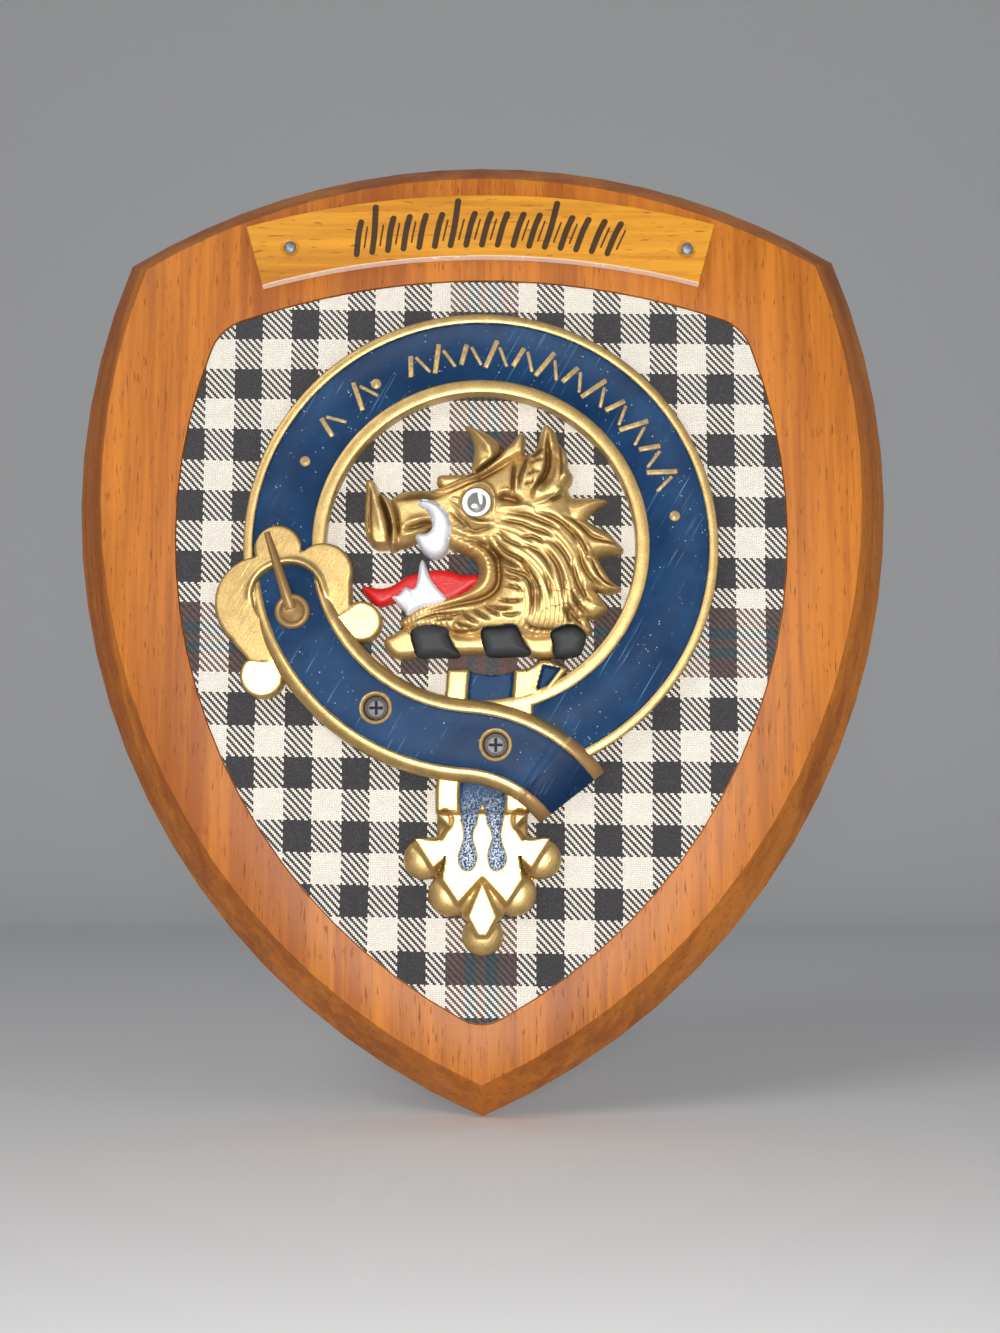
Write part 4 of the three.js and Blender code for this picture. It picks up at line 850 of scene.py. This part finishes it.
def head_field(x, z):
    height = np.zeros(x.shape)
    # painted shade: grooves and the ring round the eye are marked to be painted darker
    hollow = np.zeros(x.shape)
    for outline, middle, shoulder in HEAD_FORMS:
        depth = outline_depth(x, z, outline)
        height = np.maximum(height, rounded(depth, middle, shoulder, EDGE))
    jaw = outline_depth(x, z, JAW)
    lift = 0.55 + 0.45 * np.clip((x + 24) / 26, 0, 1)
    height = np.maximum(height, np.where(jaw > 0, EDGE + (rounded(jaw, 6.6, 4.2, EDGE) - EDGE) * lift, 0))
    # the cheek swells towards the jaw's hinge and sinks towards the ear
    swell = np.exp(-(((x - 12) / 13) ** 2) - ((z - 15) / 14) ** 2)
    covered = height > 0
    height += 1.3 * swell * covered
    for points, half, rise in HEAD_STROKES:
        stroke(x, z, height, points, half, rise, hollow)
    # fine hair between the carved strands, round the hinge of the jaw
    across, up = x - JAW_HINGE[0], z - JAW_HINGE[1]
    reach, turn = np.hypot(across, up), np.arctan2(up, across)
    hair = np.sin(2 * np.pi * reach / HAIR_PITCH + 2.1 * np.sin(2.3 * turn + 0.3 * reach))
    spread = np.clip((reach - 7) / 5, 0, 1) * np.clip((36 - reach) / 8, 0, 1) * np.clip((30 - z) / 5, 0, 1)
    height += HAIR_RISE * hair * spread * covered

    eye = disc_depth(x, z, *EYE)
    ball = 6.3 + 1.5 * np.sqrt(np.clip(1 - (1 - np.clip(eye, 0, EYE_ACROSS) / EYE_ACROSS) ** 2, 0, 1))
    socket = np.clip((eye + 1.6) / 1.6, 0, 1) ** 2
    height = np.where(eye > 0, ball, height - 1.2 * socket)
    hollow = np.maximum(hollow, socket * (eye <= 0))

    glint = np.maximum.reduce([disc_depth(x, z, *form) for form in GLINTS])
    marks = {"eye": eye, "iris": disc_depth(x, z, *IRIS), "glint": glint}
    tusk = np.full(x.shape, -1e3)
    for mark, outline, middle, shoulder, edge in MOUTH_FORMS:
        depth = outline_depth(x, z, outline)
        form = rounded(depth, middle, shoulder, edge)
        if mark == "tongue":
            marks["tongue"] = np.minimum(depth, np.where(height > form, form - height, depth))
            height = np.maximum(height, form)
        else:
            over = depth if mark == "upper" else np.where(height > form + 0.4, -1, depth)
            tusk = np.maximum(tusk, over)
            height = np.where(over > 0, form, height)
            hollow = np.where(over > 0, 0, hollow)
    for points, half, rise in TUSK_STROKES:
        stroke(x, z, height, points, half, rise)
    marks["tusk"] = tusk

    for outline in WREATH_GOLD:
        height = np.maximum(height, rounded(outline_depth(x, z, outline), 5.8, 2.6, EDGE))
    black = np.full(x.shape, -1e3)
    for outline in WREATH_BLACK_FORMS:
        depth = outline_depth(x, z, outline)
        black = np.maximum(black, depth)
        height = np.where(depth > 0, rounded(depth, 6.8, 3.4, 3.0), height)
    marks["black"] = black
    marks["hollow"] = hollow
    return np.maximum(height, 1.0), marks


# Buckle plate: lobes with a round opening

BUCKLE_BOX = (-82, -26, -28, 30)
BUCKLE_HEIGHT = 7.2
BUCKLE_LOBES = [((-66, 4.5), 14.3), ((-61.3, 21), 7.3), ((-47.5, 14), 8.8), ((-35.9, -1.2), 6.1),
                ((-65.7, -17.8), 6.5)]
BUCKLE_WEBS = [
    [(-80, 2), (-77.5, -4), (-74, -9), (-70, -13.5), (-60, -14), (-60, 6)],
    [(-53, 21.3), (-42, 19), (-38.8, 13), (-38.7, 4.5), (-36, -7), (-46, -6), (-50, 0), (-60, 18)],
    [(-69, 18.5), (-74, 10), (-66, 0), (-50, 8), (-53, 21)],
]
ARCH = ((-59.5, 6.5), 9.0)


def buckle_depth(x, z):
    inside = np.full(x.shape, -1e3)
    for place, radius in BUCKLE_LOBES:
        inside = np.maximum(inside, disc_depth(x, z, place, radius))
    for web in BUCKLE_WEBS:
        inside = np.maximum(inside, outline_depth(x, z, web, sharp=True) - 0.4)
    # the opening is round at the top and then follows the strap
    foot = np.array([strap_place(along)[:2] for along in range(9, 42, 3)])
    opening = np.maximum(disc_depth(x, z, *ARCH), ARCH[1] - nearest(x, z, foot)[0])
    return np.minimum(inside, -opening), opening


def buckle_field(x, z):
    edge, opening = buckle_depth(x, z)
    height = rounded(edge, BUCKLE_HEIGHT, 1.0, BUCKLE_HEIGHT - 1.2)
    # a low bright lip round the arch, and two lobes that lean back a little
    lip = np.exp(-(((-opening - 1.3) / 0.9) ** 2))
    height += 0.7 * lip * (edge > 0) * np.clip((z - ARCH[0][1] + 2) / 3, 0, 1)
    below = np.clip(-13.5 - z, 0, 12)
    height -= np.where(below > 0, 0.155 * (x + 63) + 0.1 * below, 0) * (edge > 0)
    below = np.clip(0.555 * (x + 41.5) - 0.832 * (z - 1), 0, 12)
    height -= np.where((below > 0) & (x > -43), 0.094 * (x + 36) + 0.13 * below, 0) * (edge > 0)
    return np.maximum(height, 1.0), {"gilt": np.full(x.shape, 5.0), "wear_and_shade": np.zeros(x.shape)}


# Hanging strap with its metal end, drawn about its own middle line

HANGING_BOX = (-26, -103, 27, -11)
CHAPE_X = 0.4
CURL = smooth_line([(13, -58.6), (10.6, -58.2), (9.2, -60.2), (9.6, -62.8), (11.4, -64), (13, -66.4)])
WEB = [(9.4, -24), (12, -17), (18, -13.1), (20.9, -13), (26.6, -15.7), (20.2, -24), (14, -28)]
SLOT = [(-1, -54), (-1, -60), (2.2, -63), (2.9, -66.5), (2.0, -69.6), (1.7, -72.4), (2.7, -75.2),
        (4.6, -75.9), (6.5, -74.5), (7.1, -71.8), (6.0, -68.4), (5.4, -65), (6.2, -61), (6.6, -57),
        (6.6, -54)]
SPIKE = [(-2, -56), (0, -56), (1.2, -59.5), (1.9, -64), (1.2, -69), (0.9, -73), (1.4, -76), (-2, -76)]
LEAF = [(18.6, -14.4), (24.2, -15.6), (19, -22.4), (16.6, -21.8)]
CHAPE = [(-2, -40), (14, -40), (14, -59), (10.5, -62), (12, -66), (20.5, -66), (16.5, -74), (11, -70.6),
         (12.5, -78), (8, -84.5), (3, -88), (2, -95), (-2, -96)]
CHAPE_NECK = [(-3, -80), (9, -80), (6, -90), (3.2, -92), (-3, -94)]
CHAPE_LOBES = [((17.4, -72.4), 6.2), ((9.6, -82.8), 6.6), ((0, -95), 6.1)]
CHAPE_FLAT = [(-2, -59), (12.8, -59.5), (9.4, -63), (11.8, -67), (20, -66.5), (14.6, -75), (10.6, -71.4),
              (11.8, -78.4), (7.2, -85.2), (0, -77.4), (-2, -77.4)]
CHAPE_POINT = [(-2, -79.6), (0.2, -79.8), (4.1, -89.4), (1.2, -94.6), (-2, -95)]
STUB_HALF = 13.6


def hanging_depth(x, z):
    """Distances inside the whole form, the strap with its metal end, the web and the strap above,
    and how far each place is from the middle line."""
    across = np.abs(x - CHAPE_X - 2.9 * np.clip((z + 52) / 35, 0, 1.2))
    dip = 0.25 * np.sqrt(np.clip(49 - across ** 2, 0, 49))
    slabs = np.minimum(STUB_HALF - across, np.minimum(-15.6 - dip - z, z + 72))
    parts = [slabs] + [outline_depth(across, z, outline, sharp=True) for outline in (CHAPE, CHAPE_NECK)]
    parts += [disc_depth(across, z, place, radius) for place, radius in CHAPE_LOBES]
    chape = np.maximum.reduce(parts)
    web = outline_depth(x, z, WEB, sharp=True)
    return np.maximum(chape, web), chape, web, slabs, across


def hanging_field(x, z):
    edge, chape, web, slabs, across = hanging_depth(x, z)
    height = rounded(chape, 5.6, 5.4, 2.6)
    # the pale raised flat with straight edges, and the diamond at the point
    raised = np.maximum(outline_depth(across, z, CHAPE_FLAT, sharp=True),
                        outline_depth(across, z, CHAPE_POINT, sharp=True))
    slope = 5.0 + 2.0 * np.clip((raised + 1.4) / 1.4, 0, 1)
    height = np.maximum(height, np.where(raised > -1.4, slope, 0) * (edge > 0.3))
    # blue strap between gold borders above, and two slots that end in drops
    blue = np.minimum(6.7 - across, z + 58.5)
    spike = outline_depth(across, z, SPIKE, sharp=True)
    blue = np.minimum(np.maximum(blue, outline_depth(across, z, SLOT)), -spike)
    border = 5.2 + 0.9 * np.clip((across - 6.6) / 0.8, 0, 1)
    height = np.where((z > -58) & (edge > 0), np.minimum(rounded(edge, 6.2, 1.4, 4.2), border), height)
    # curls scored into the flats beside the slots
    curl = np.full(x.shape, 9.0)
    w = near(across, z, CURL, 2)
    curl[w] = nearest(across[w], z[w], CURL)[0]
    height -= 0.7 * np.exp(-((curl / 0.4) ** 2)) * (edge > 0.5)
    height -= 1.1 * np.clip(blue / 0.8, 0, 1) * (edge > 0)
    leaf = outline_depth(x, z, LEAF, sharp=True)
    beside = rounded(web, 6.2, 1.2, 4.2) - 1.7 * np.clip(leaf / 0.7, 0, 1)
    height = np.where((web > 0) & (slabs < 0.8), beside, height)
    blue = np.maximum(blue, leaf)
    return np.maximum(height, 1.0), {"gilt": -blue, "wear_and_shade": np.zeros(x.shape)}


# Front strap: along the belt, then a turn the other way to its rolled end

STRAP_WIDTH = 25.0
STRAP_BORDER = 4.3
STRAP_HEIGHT, STRAP_LOW, ROLL_LOW = 9.0, 5.4, 3.0
STRAP_START, STRAP_LEAVE, STRAP_TURN, STRAP_TURN_RADIUS = 186.0, 266.0, 48.0, 44.0
STRAP_ALONG_BELT = math.radians(STRAP_LEAVE - STRAP_START) * BELT_MIDDLE
STRAP_LENGTH = STRAP_ALONG_BELT + math.radians(STRAP_TURN) * STRAP_TURN_RADIUS
ROLL_START, CREASE_AT = 0.9, 0.89


def strap_place(along):
    """Middle of the strap at a length along it, and the way it heads, in degrees."""
    if along <= STRAP_ALONG_BELT:
        degrees = STRAP_START + (STRAP_LEAVE - STRAP_START) * along / STRAP_ALONG_BELT
        a = math.radians(degrees)
        return BELT_MIDDLE * math.cos(a), BELT_Z + BELT_MIDDLE * math.sin(a), degrees + 90
    turned_by = math.degrees((along - STRAP_ALONG_BELT) / STRAP_TURN_RADIUS)
    a = math.radians(STRAP_LEAVE)
    reach = BELT_MIDDLE + STRAP_TURN_RADIUS
    x, z = reach * math.cos(a), BELT_Z + reach * math.sin(a)
    degrees = STRAP_LEAVE - 180 - turned_by
    a = math.radians(degrees)
    return x + STRAP_TURN_RADIUS * math.cos(a), z + STRAP_TURN_RADIUS * math.sin(a), degrees - 90


def strap_height(along):
    """Height there: it climbs from under the buckle, has a crease, and rolls down at its end."""
    t = min(1, along / (0.2 * STRAP_LENGTH))
    rise = t * t * (3 - 2 * t)
    roll = max(0, along / STRAP_LENGTH - ROLL_START) / (1 - ROLL_START)
    crease = 0.5 * math.exp(-((along / STRAP_LENGTH - CREASE_AT) / 0.007) ** 2)
    full = STRAP_LOW + (STRAP_HEIGHT - STRAP_LOW) * rise - crease
    return ROLL_LOW + (full - ROLL_LOW) * math.sqrt(1 - 0.94 * roll ** 2)


def strap_profile(height):
    """Half the section, from the middle out: the blue face, the flat border and its rounded edge."""
    half = STRAP_WIDTH / 2
    inner = half - STRAP_BORDER
    face = [(0, 0.45), (0.5 * inner, 0.5), (inner - 0.5, 0.7), (inner - 0.1, 0.55)]
    border = [(0.25, 0.02), (0.8, -0.05), (1.8, 0), (2.5, 0.3), (3.1, 0.85), (3.6, 1.6)]
    face += [(inner + out, drop) for out, drop in border] + [(half - 0.1, 2.6), (half, 3.4)]
    return [(out, height - drop) for out, drop in face] + [(half, 0)]


def strap():
    """The strap swept along its middle line, with finer steps round its rolled end."""
    steps, roll_steps = 90, 14
    shares = [ROLL_START * i / steps for i in range(steps)]
    shares += [ROLL_START + (1 - ROLL_START) * math.sin(math.pi / 2 * i / roll_steps)
               for i in range(roll_steps + 1)]
    sections = []
    widths = {}
    for share in shares:
        x, z, heading = strap_place(share * STRAP_LENGTH)
        a = math.radians(heading + 90)
        half = strap_profile(strap_height(share * STRAP_LENGTH))
        section = []
        for out, height in [(-b, h) for b, h in reversed(half)] + half[1:]:
            y = MOULDING_Y - max(height, 0)
            section.append(Vector((x + out * math.cos(a), y, z + out * math.sin(a))))
            widths[rounded_place(section[-1], 4)] = abs(out)
        sections.append(section)
    made = swept(sections)
    inner = STRAP_WIDTH / 2 - STRAP_BORDER
    add_mark(made, "gilt", [widths.get(rounded_place(v.co, 4), 9) - inner for v in made.verts])
    # the rolled end is painted darker, as shade where it curls down
    end = Vector(strap_place(STRAP_LENGTH)[:2])
    aim = end - Vector(strap_place(ROLL_START * STRAP_LENGTH)[:2])
    ahead = [(Vector((v.co.x, v.co.z)) - end).dot(aim.normalized()) for v in made.verts]
    add_mark(made, "wear_and_shade", [DULL_AND_SHADE if -aim.length < a else 0.0 for a in ahead])
    return made


def with_screw_holes(made):
    top = STRAP_HEIGHT + 0.5
    profile = [(0, -1), (3.8, -1), (3.8, top - 3.1), (4.2, top - 1.5), (4.5, top), (0, top)]
    for place in SCREW_PLACES.values():
        made = cut(made, gilt(turned(profile, place, MOULDING_Y, 48), value=-5.0))
    return made


def cut(solid, cutter):
    """Cuts one solid out of another, and keeps the marks."""
    objects = [new_object("work", bm) for bm in (solid, cutter)]
    change = objects[0].modifiers.new("cut", "BOOLEAN")
    change.operation = "DIFFERENCE"
    change.solver = "EXACT"
    change.object = objects[1]
    bpy.context.view_layer.update()
    result = bmesh.new()
    result.from_object(objects[0], bpy.context.evaluated_depsgraph_get())
    for obj in objects:
        mesh = obj.data
        bpy.data.objects.remove(obj)
        bpy.data.meshes.remove(mesh)
    return result


def ring():
    def rim(a, b):
        middle, half = (a + b) / 2, abs(a - b) / 2
        return [(middle + half * math.cos(t), BELT_FACE + 0.2 + 0.85 * max(math.sin(t), 0) ** 0.5)
                for t in (math.pi * i / 14 for i in range(15))]
    profile = [(BELT_INNER, 0), (BELT_OUTER, 0)] + rim(BELT_OUTER, RIM_OUTER)
    face = BELT_FACE
    profile += [(RIM_OUTER - 0.3, face - 0.1), (BELT_MIDDLE, face), (RIM_INNER + 0.3, face - 0.1)]
    profile += rim(RIM_INNER, BELT_INNER)
    made = turned(profile, (BELT_X, BELT_Z), MOULDING_Y, 200)
    reach = [math.hypot(v.co.x - BELT_X, v.co.z - BELT_Z) for v in made.verts]
    add_mark(made, "gilt", [max(RIM_INNER - 0.1 - r, r - RIM_OUTER - 0.1) for r in reach])
    add_mark(made, "wear_and_shade", [0] * len(made.verts))
    return made


def on_belt(degrees, radius=BELT_MIDDLE):
    a = math.radians(degrees)
    return BELT_X + radius * math.cos(a), BELT_Z + radius * math.sin(a)


def gilt(made, wear_and_shade=0.0, value=5.0):
    add_mark(made, "gilt", [value] * len(made.verts))
    add_mark(made, "wear_and_shade", [wear_and_shade] * len(made.verts))
    return made


def bar(start, end, width, low, high):
    """A straight raised stroke with softened edges."""
    made = bmesh.new()
    bmesh.ops.create_cube(made, size=1)
    run = Vector((end[0] - start[0], 0, end[1] - start[1]))
    bmesh.ops.scale(made, vec=(run.length, high - low, width), verts=made.verts)
    front = [e for e in made.edges if min(v.co.y for v in e.verts) < 0]
    bmesh.ops.bevel(made, geom=front, offset=0.28, segments=2, profile=0.5, affect="EDGES",
                    clamp_overlap=True, material=-1)
    angle = math.atan2(run.z, run.x)
    bmesh.ops.rotate(made, cent=(0, 0, 0), matrix=Matrix.Rotation(-angle, 3, "Y"), verts=made.verts)
    middle = ((start[0] + end[0]) / 2, MOULDING_Y - (low + high) / 2, (start[1] + end[1]) / 2)
    bmesh.ops.translate(made, vec=middle, verts=made.verts)
    return gilt(made, 1.0)


def belt_stroke(middle, lean, half, width, rise):
    """A raised stroke on the belt's face, by its middle, its lean and half its length."""
    (x, z), dx, dz = middle, half * math.cos(lean), half * math.sin(lean)
    return bar((x - dx, z - dz), (x + dx, z + dz), width, BELT_FACE - 0.6, BELT_FACE + rise)


def belt_moulding():
    bm = with_screw_holes(ring())
    join(bm, with_screw_holes(strap()))
    cell = 0.4
    relief(bm, BUCKLE_BOX, cell, lambda x, z: buckle_depth(x, z)[0], buckle_field, MOULDING_Y)
    relief(bm, HANGING_BOX, cell, lambda x, z: hanging_depth(x, z)[0], hanging_field, MOULDING_Y)
    # one row of slanted strokes, long and short in turn; a finer stroke leans the other way beside each
    for first, last, count in STROKE_ROWS:
        for i in range(count):
            degrees = first + (last - first) * i / (count - 1)
            half = STROKE_LENGTH * (0.5 if i % 2 else 0.36)
            lean = math.radians(degrees) + STROKE_LEAN
            join(bm, belt_stroke(on_belt(degrees), lean, half, STROKE_WIDTH, STROKE_RISE))
            beside = on_belt(degrees + FINE_TURN, BELT_MIDDLE - 0.6)
            join(bm, belt_stroke(beside, lean + FINE_LEAN, FINE_HALF, FINE_WIDTH, FINE_RISE))
    for degrees in DOTS:
        dot = [(0, -1), (1.6, -1), (1.6, 0.1), (1.2, 0.4), (0, 0.45)]
        dot = turned([(r, BELT_FACE + h) for r, h in dot], on_belt(degrees), MOULDING_Y, 20)
        join(bm, gilt(dot, 1.0))
    for made in (tongue_pin(), eyelet()):
        join(bm, gilt(made, DULL_AND_SHADE))
    for place in SCREW_PLACES.values():
        join(bm, screw_rim(place))
    return bm


# values of the wear-and-shade mark: rubbed gold; dull gold on the pin and eyelet and painted shade on the
# strap's rolled end; painted shade in the countersinks
RUBBED, DULL_AND_SHADE, RECESS_SHADE_LEVEL = 1.42, 2.0, 3.0

EYELET = (-56.5, 1.5)
PIN_ROOT = (-64.6, 25.8)
PIN_STEPS = 12
SCREW_PLACES = {"screw_left": (-31.3, -27.6), "screw_right": (4.4, -38.7)}


def tongue_pin():
    """The buckle's tongue, from its root on the plate to the eyelet, thicker on the way."""
    start = Vector((PIN_ROOT[0], MOULDING_Y - BUCKLE_HEIGHT + 0.4, PIN_ROOT[1]))
    end = Vector((EYELET[0] - 0.4, MOULDING_Y - STRAP_HEIGHT + 0.4, EYELET[1] + 0.8))
    side = Vector((end.z - start.z, 0, start.x - end.x)).normalized()
    out = Vector((0, -1, 0))
    sections = []
    for i in range(PIN_STEPS + 1):
        share = i / PIN_STEPS
        half = 0.9 + 1.0 * share ** 0.8
        rise = 0.9 + 2.2 * math.sin(math.pi * min(1, 0.15 + share * 0.8))
        if i == PIN_STEPS:
            half, rise = 1.5, 0.9
        middle = start.lerp(end, share)
        section = []
        for k in range(16):
            t = 2 * math.pi * k / 16
            lift = rise * max(math.sin(t), 0) ** 0.9 - (1.0 if math.sin(t) < -0.01 else 0)
            section.append(middle + side * half * math.cos(t) + out * lift)
        sections.append(section)
    return swept(sections)


def eyelet():
    low, top = STRAP_HEIGHT - 2.6, STRAP_HEIGHT + 0.5
    profile = [(5.3, 0.9), (5.0, 0.3), (4.5, 0), (3.9, 0.1), (3.5, 0.5), (3.2, 1.2), (2.9, 1.5), (0, 1.3)]
    return turned([(0, low), (5.3, low)] + [(r, top - drop) for r, drop in profile], EYELET, MOULDING_Y, 40)


def screw_rim(place):
    """The gold rim round a screw, with painted shade in its countersink."""
    top = STRAP_HEIGHT - 0.2
    profile = [(3.4, 3.0), (5.0, 3.0), (5.0, 0.3), (4.7, -0.05), (4.2, 0), (3.9, 0.4), (3.5, 2.2)]
    made = turned([(r, top - drop) for r, drop in profile], place, MOULDING_Y, 36)
    gilt(made, RUBBED)
    wear_and_shade = made.verts.layers.float["wear_and_shade"]
    # the countersink is painted dark as shade
    for vert in made.verts:
        if math.hypot(vert.co.x - place[0], vert.co.z - place[1]) < 3.8:
            vert[wear_and_shade] = RECESS_SHADE_LEVEL
    return made


# Name plate

PLATE_PIVOT_Z = PLATE_TOP_Z - PLATE_RADIUS
PIN_ANGLES = {"plate_pin_left": 12.9, "plate_pin_right": -14.0}


def on_plate(degrees, radius=PLATE_RADIUS - PLATE_WIDTH / 2):
    a = math.radians(90 + degrees)
    return radius * math.cos(a), PLATE_PIVOT_Z + radius * math.sin(a)


def ink_marks():
    """A row of broad slanted pen strokes, some of them taller, with a light tick between them."""
    marks = []
    for i in range(17):
        along = -38 + 80 * i / 16
        tall = 8.0 if i in (1, 6, 12) else 3.8
        marks.append(((along - 1.5, -6.2), (along, 0), (along + 1.3, tall), 0.95))
        if i % 5 != 4:
            marks.append(((along + 1.2, -4.5), (along + 2.1, -1.2), (along + 3.0, 2.0), 0.28))
    return marks


def plate_field(x, z):
    radius = np.hypot(x, z - PLATE_PIVOT_Z)
    turn = np.degrees(np.arctan2(-x, z - PLATE_PIVOT_Z))
    ends = np.radians(PLATE_HALF_ANGLE - np.abs(turn)) * radius
    edge = np.minimum(ends, np.minimum(PLATE_RADIUS - radius, radius - PLATE_RADIUS + PLATE_WIDTH))
    along = -turn * math.pi / 180 * (PLATE_RADIUS - PLATE_WIDTH / 2)
    up = radius - PLATE_RADIUS + PLATE_WIDTH / 2
    ink = np.full(x.shape, -3.0)
    for a, b, c, half in ink_marks():
        line = smooth_line([a, b, c])
        w = near(along, up, line, 2)
        d, _ = nearest(along[w], up[w], line)
        ink[w] = np.maximum(ink[w], half - d)
    hole = np.full(x.shape, -9.0)
    for degrees in PIN_ANGLES.values():
        hole = np.maximum(hole, disc_depth(x, z, on_plate(degrees), 2.9))
    height = rounded(edge, PLATE_THICKNESS, 0.5, PLATE_THICKNESS - 0.35)
    height -= 0.5 * np.clip(hole / 0.5, 0, 1)
    return height, {"ink": ink}


def name_plate():
    bm = bmesh.new()
    along, across = ((420, 64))
    bmesh.ops.create_grid(bm, x_segments=along, y_segments=across, size=1)
    # the grid is bent to the strip's arc, with finer rows towards its edges
    place = np.array([v.co[:2] for v in bm.verts])
    place *= 1.15 - 0.15 * place ** 2
    angle = np.radians(PLATE_HALF_ANGLE) * place[:, 0]
    reach = PLATE_RADIUS + PLATE_WIDTH / 2 * (place[:, 1] - 1)
    raise_front(bm, reach * np.sin(angle), PLATE_PIVOT_Z + reach * np.cos(angle), plate_field, PLATE_BACK_Y)
    return bm


# Pieces

mahogany, _ = wood("mahogany", colour(0.46, 0.148, 0.013), colour(0.25, 0.064, 0.005),
                   colour(0.09, 0.022, 0.004), 2, 0.08)
piece("board", eased_board(), mahogany.material, ["shield_board"])

# the cloth is cut to the recess
bm = copy_of("tartan_cloth")
bm.normal_update()
cloth_area = sum(f.calc_area() for f in bm.faces if f.normal.y < -0.9) * MM * MM
tartan_cloth = piece("tartan", bm, tartan(), ["tartan_cloth"])

piece("belt_moulding", belt_moulding(), moulding_paint(), ["belt_and_buckle"], sharp=50)

bm = bmesh.new()
relief(bm, HEAD_BOX, 0.3, head_depth, head_field, MOULDING_Y)
piece("boar_head", bm, crest_paint(), ["boar_head_crest"], sharp=62)

piece("oak_name_plate", name_plate(), oak_with_ink(), ["name_plate"])

screw_steel = steel("screw_steel", (0.14, 0.145, 0.155), SCREW_PLACES.values())
pin_steel = steel("pin_steel", (0.30, 0.31, 0.33))
for nodes, metal, sharp in ((SCREW_PLACES, screw_steel, 30), (PIN_ANGLES, pin_steel, 50)):
    for node in nodes:
        bm = copy_of(node, 0.5)
        split_large_faces(bm)
        piece(node + "_head", bm, metal, [node], sharp=sharp)

# Floor and backdrop in one sweep, then the lights and the camera

FLOOR_Z = cad_box[0].z - 0.0002


def backdrop():
    made = bmesh.new()
    turns = [math.pi / 2 * i / 24 for i in range(25)]
    bend = [(1.1 + 0.5 * math.sin(t), 0.5 - 0.5 * math.cos(t)) for t in turns]
    profile = [(-1.6, 0)] + bend + [(1.6, 2.4)]
    verts = [made.verts.new((-2.5, y, FLOOR_Z + z)) for y, z in profile]
    edges = [made.edges.new(pair) for pair in zip(verts, verts[1:])]
    grown = bmesh.ops.extrude_edge_only(made, edges=edges)["geom"]
    bmesh.ops.translate(made, vec=(5, 0, 0), verts=[g for g in grown if isinstance(g, bmesh.types.BMVert)])
    for face in made.faces:
        face.smooth = True
    bmesh.ops.recalc_face_normals(made, faces=made.faces)
    obj = new_object("floor", made)
    paint = Paint("pale_floor", Base_Color=colour(0.74, 0.74, 0.735), Roughness=0.85)
    obj.data.materials.append(paint.material)


backdrop()


def soft_light(name, place, target, size, power):
    data = bpy.data.lights.new(name, "AREA")
    data.shape = "DISK"
    data.size = size
    data.energy = power
    obj = bpy.data.objects.new(name, data)
    obj.location = place
    obj.rotation_euler = (Vector(target) - Vector(place)).to_track_quat("-Z", "Y").to_euler()
    bpy.context.scene.collection.objects.link(obj)


soft_light("key", (-0.6, -0.95, 0.65), (0, 0, 0), 0.6, 4.4)
soft_light("fill", (0.9, -0.9, 0.15), (0, 0, 0), 0.9, 1.9)
soft_light("near_camera", (0.01, -0.60, -0.07), (0, 0, -0.05), 0.10, 3.4)

world = bpy.data.worlds.new("studio")
world.use_nodes = True
world.node_tree.nodes["Background"].inputs["Color"].default_value = colour(0.93, 0.95, 1.0)
world.node_tree.nodes["Background"].inputs["Strength"].default_value = 0.29
bpy.context.scene.world = world
bpy.context.scene.view_settings.view_transform = "Standard"

# The camera stands where the photograph was taken from
camera_data = bpy.data.cameras.new("camera")
camera_data.lens = 43.21
camera_data.sensor_width = 36
camera = bpy.data.objects.new("camera", camera_data)
right = Vector((0.99997, 0.00753, -0.00247))
forward = Vector((-0.00721, 0.99377, 0.11126))
up = right.cross(forward).normalized()
forward = up.cross(right).normalized()
turn = Matrix((right, up, -forward)).transposed().to_4x4()
camera.matrix_world = Matrix.Translation((0.00926, -0.50278, -0.0685)) @ turn
bpy.context.scene.collection.objects.link(camera)
bpy.context.scene.camera = camera
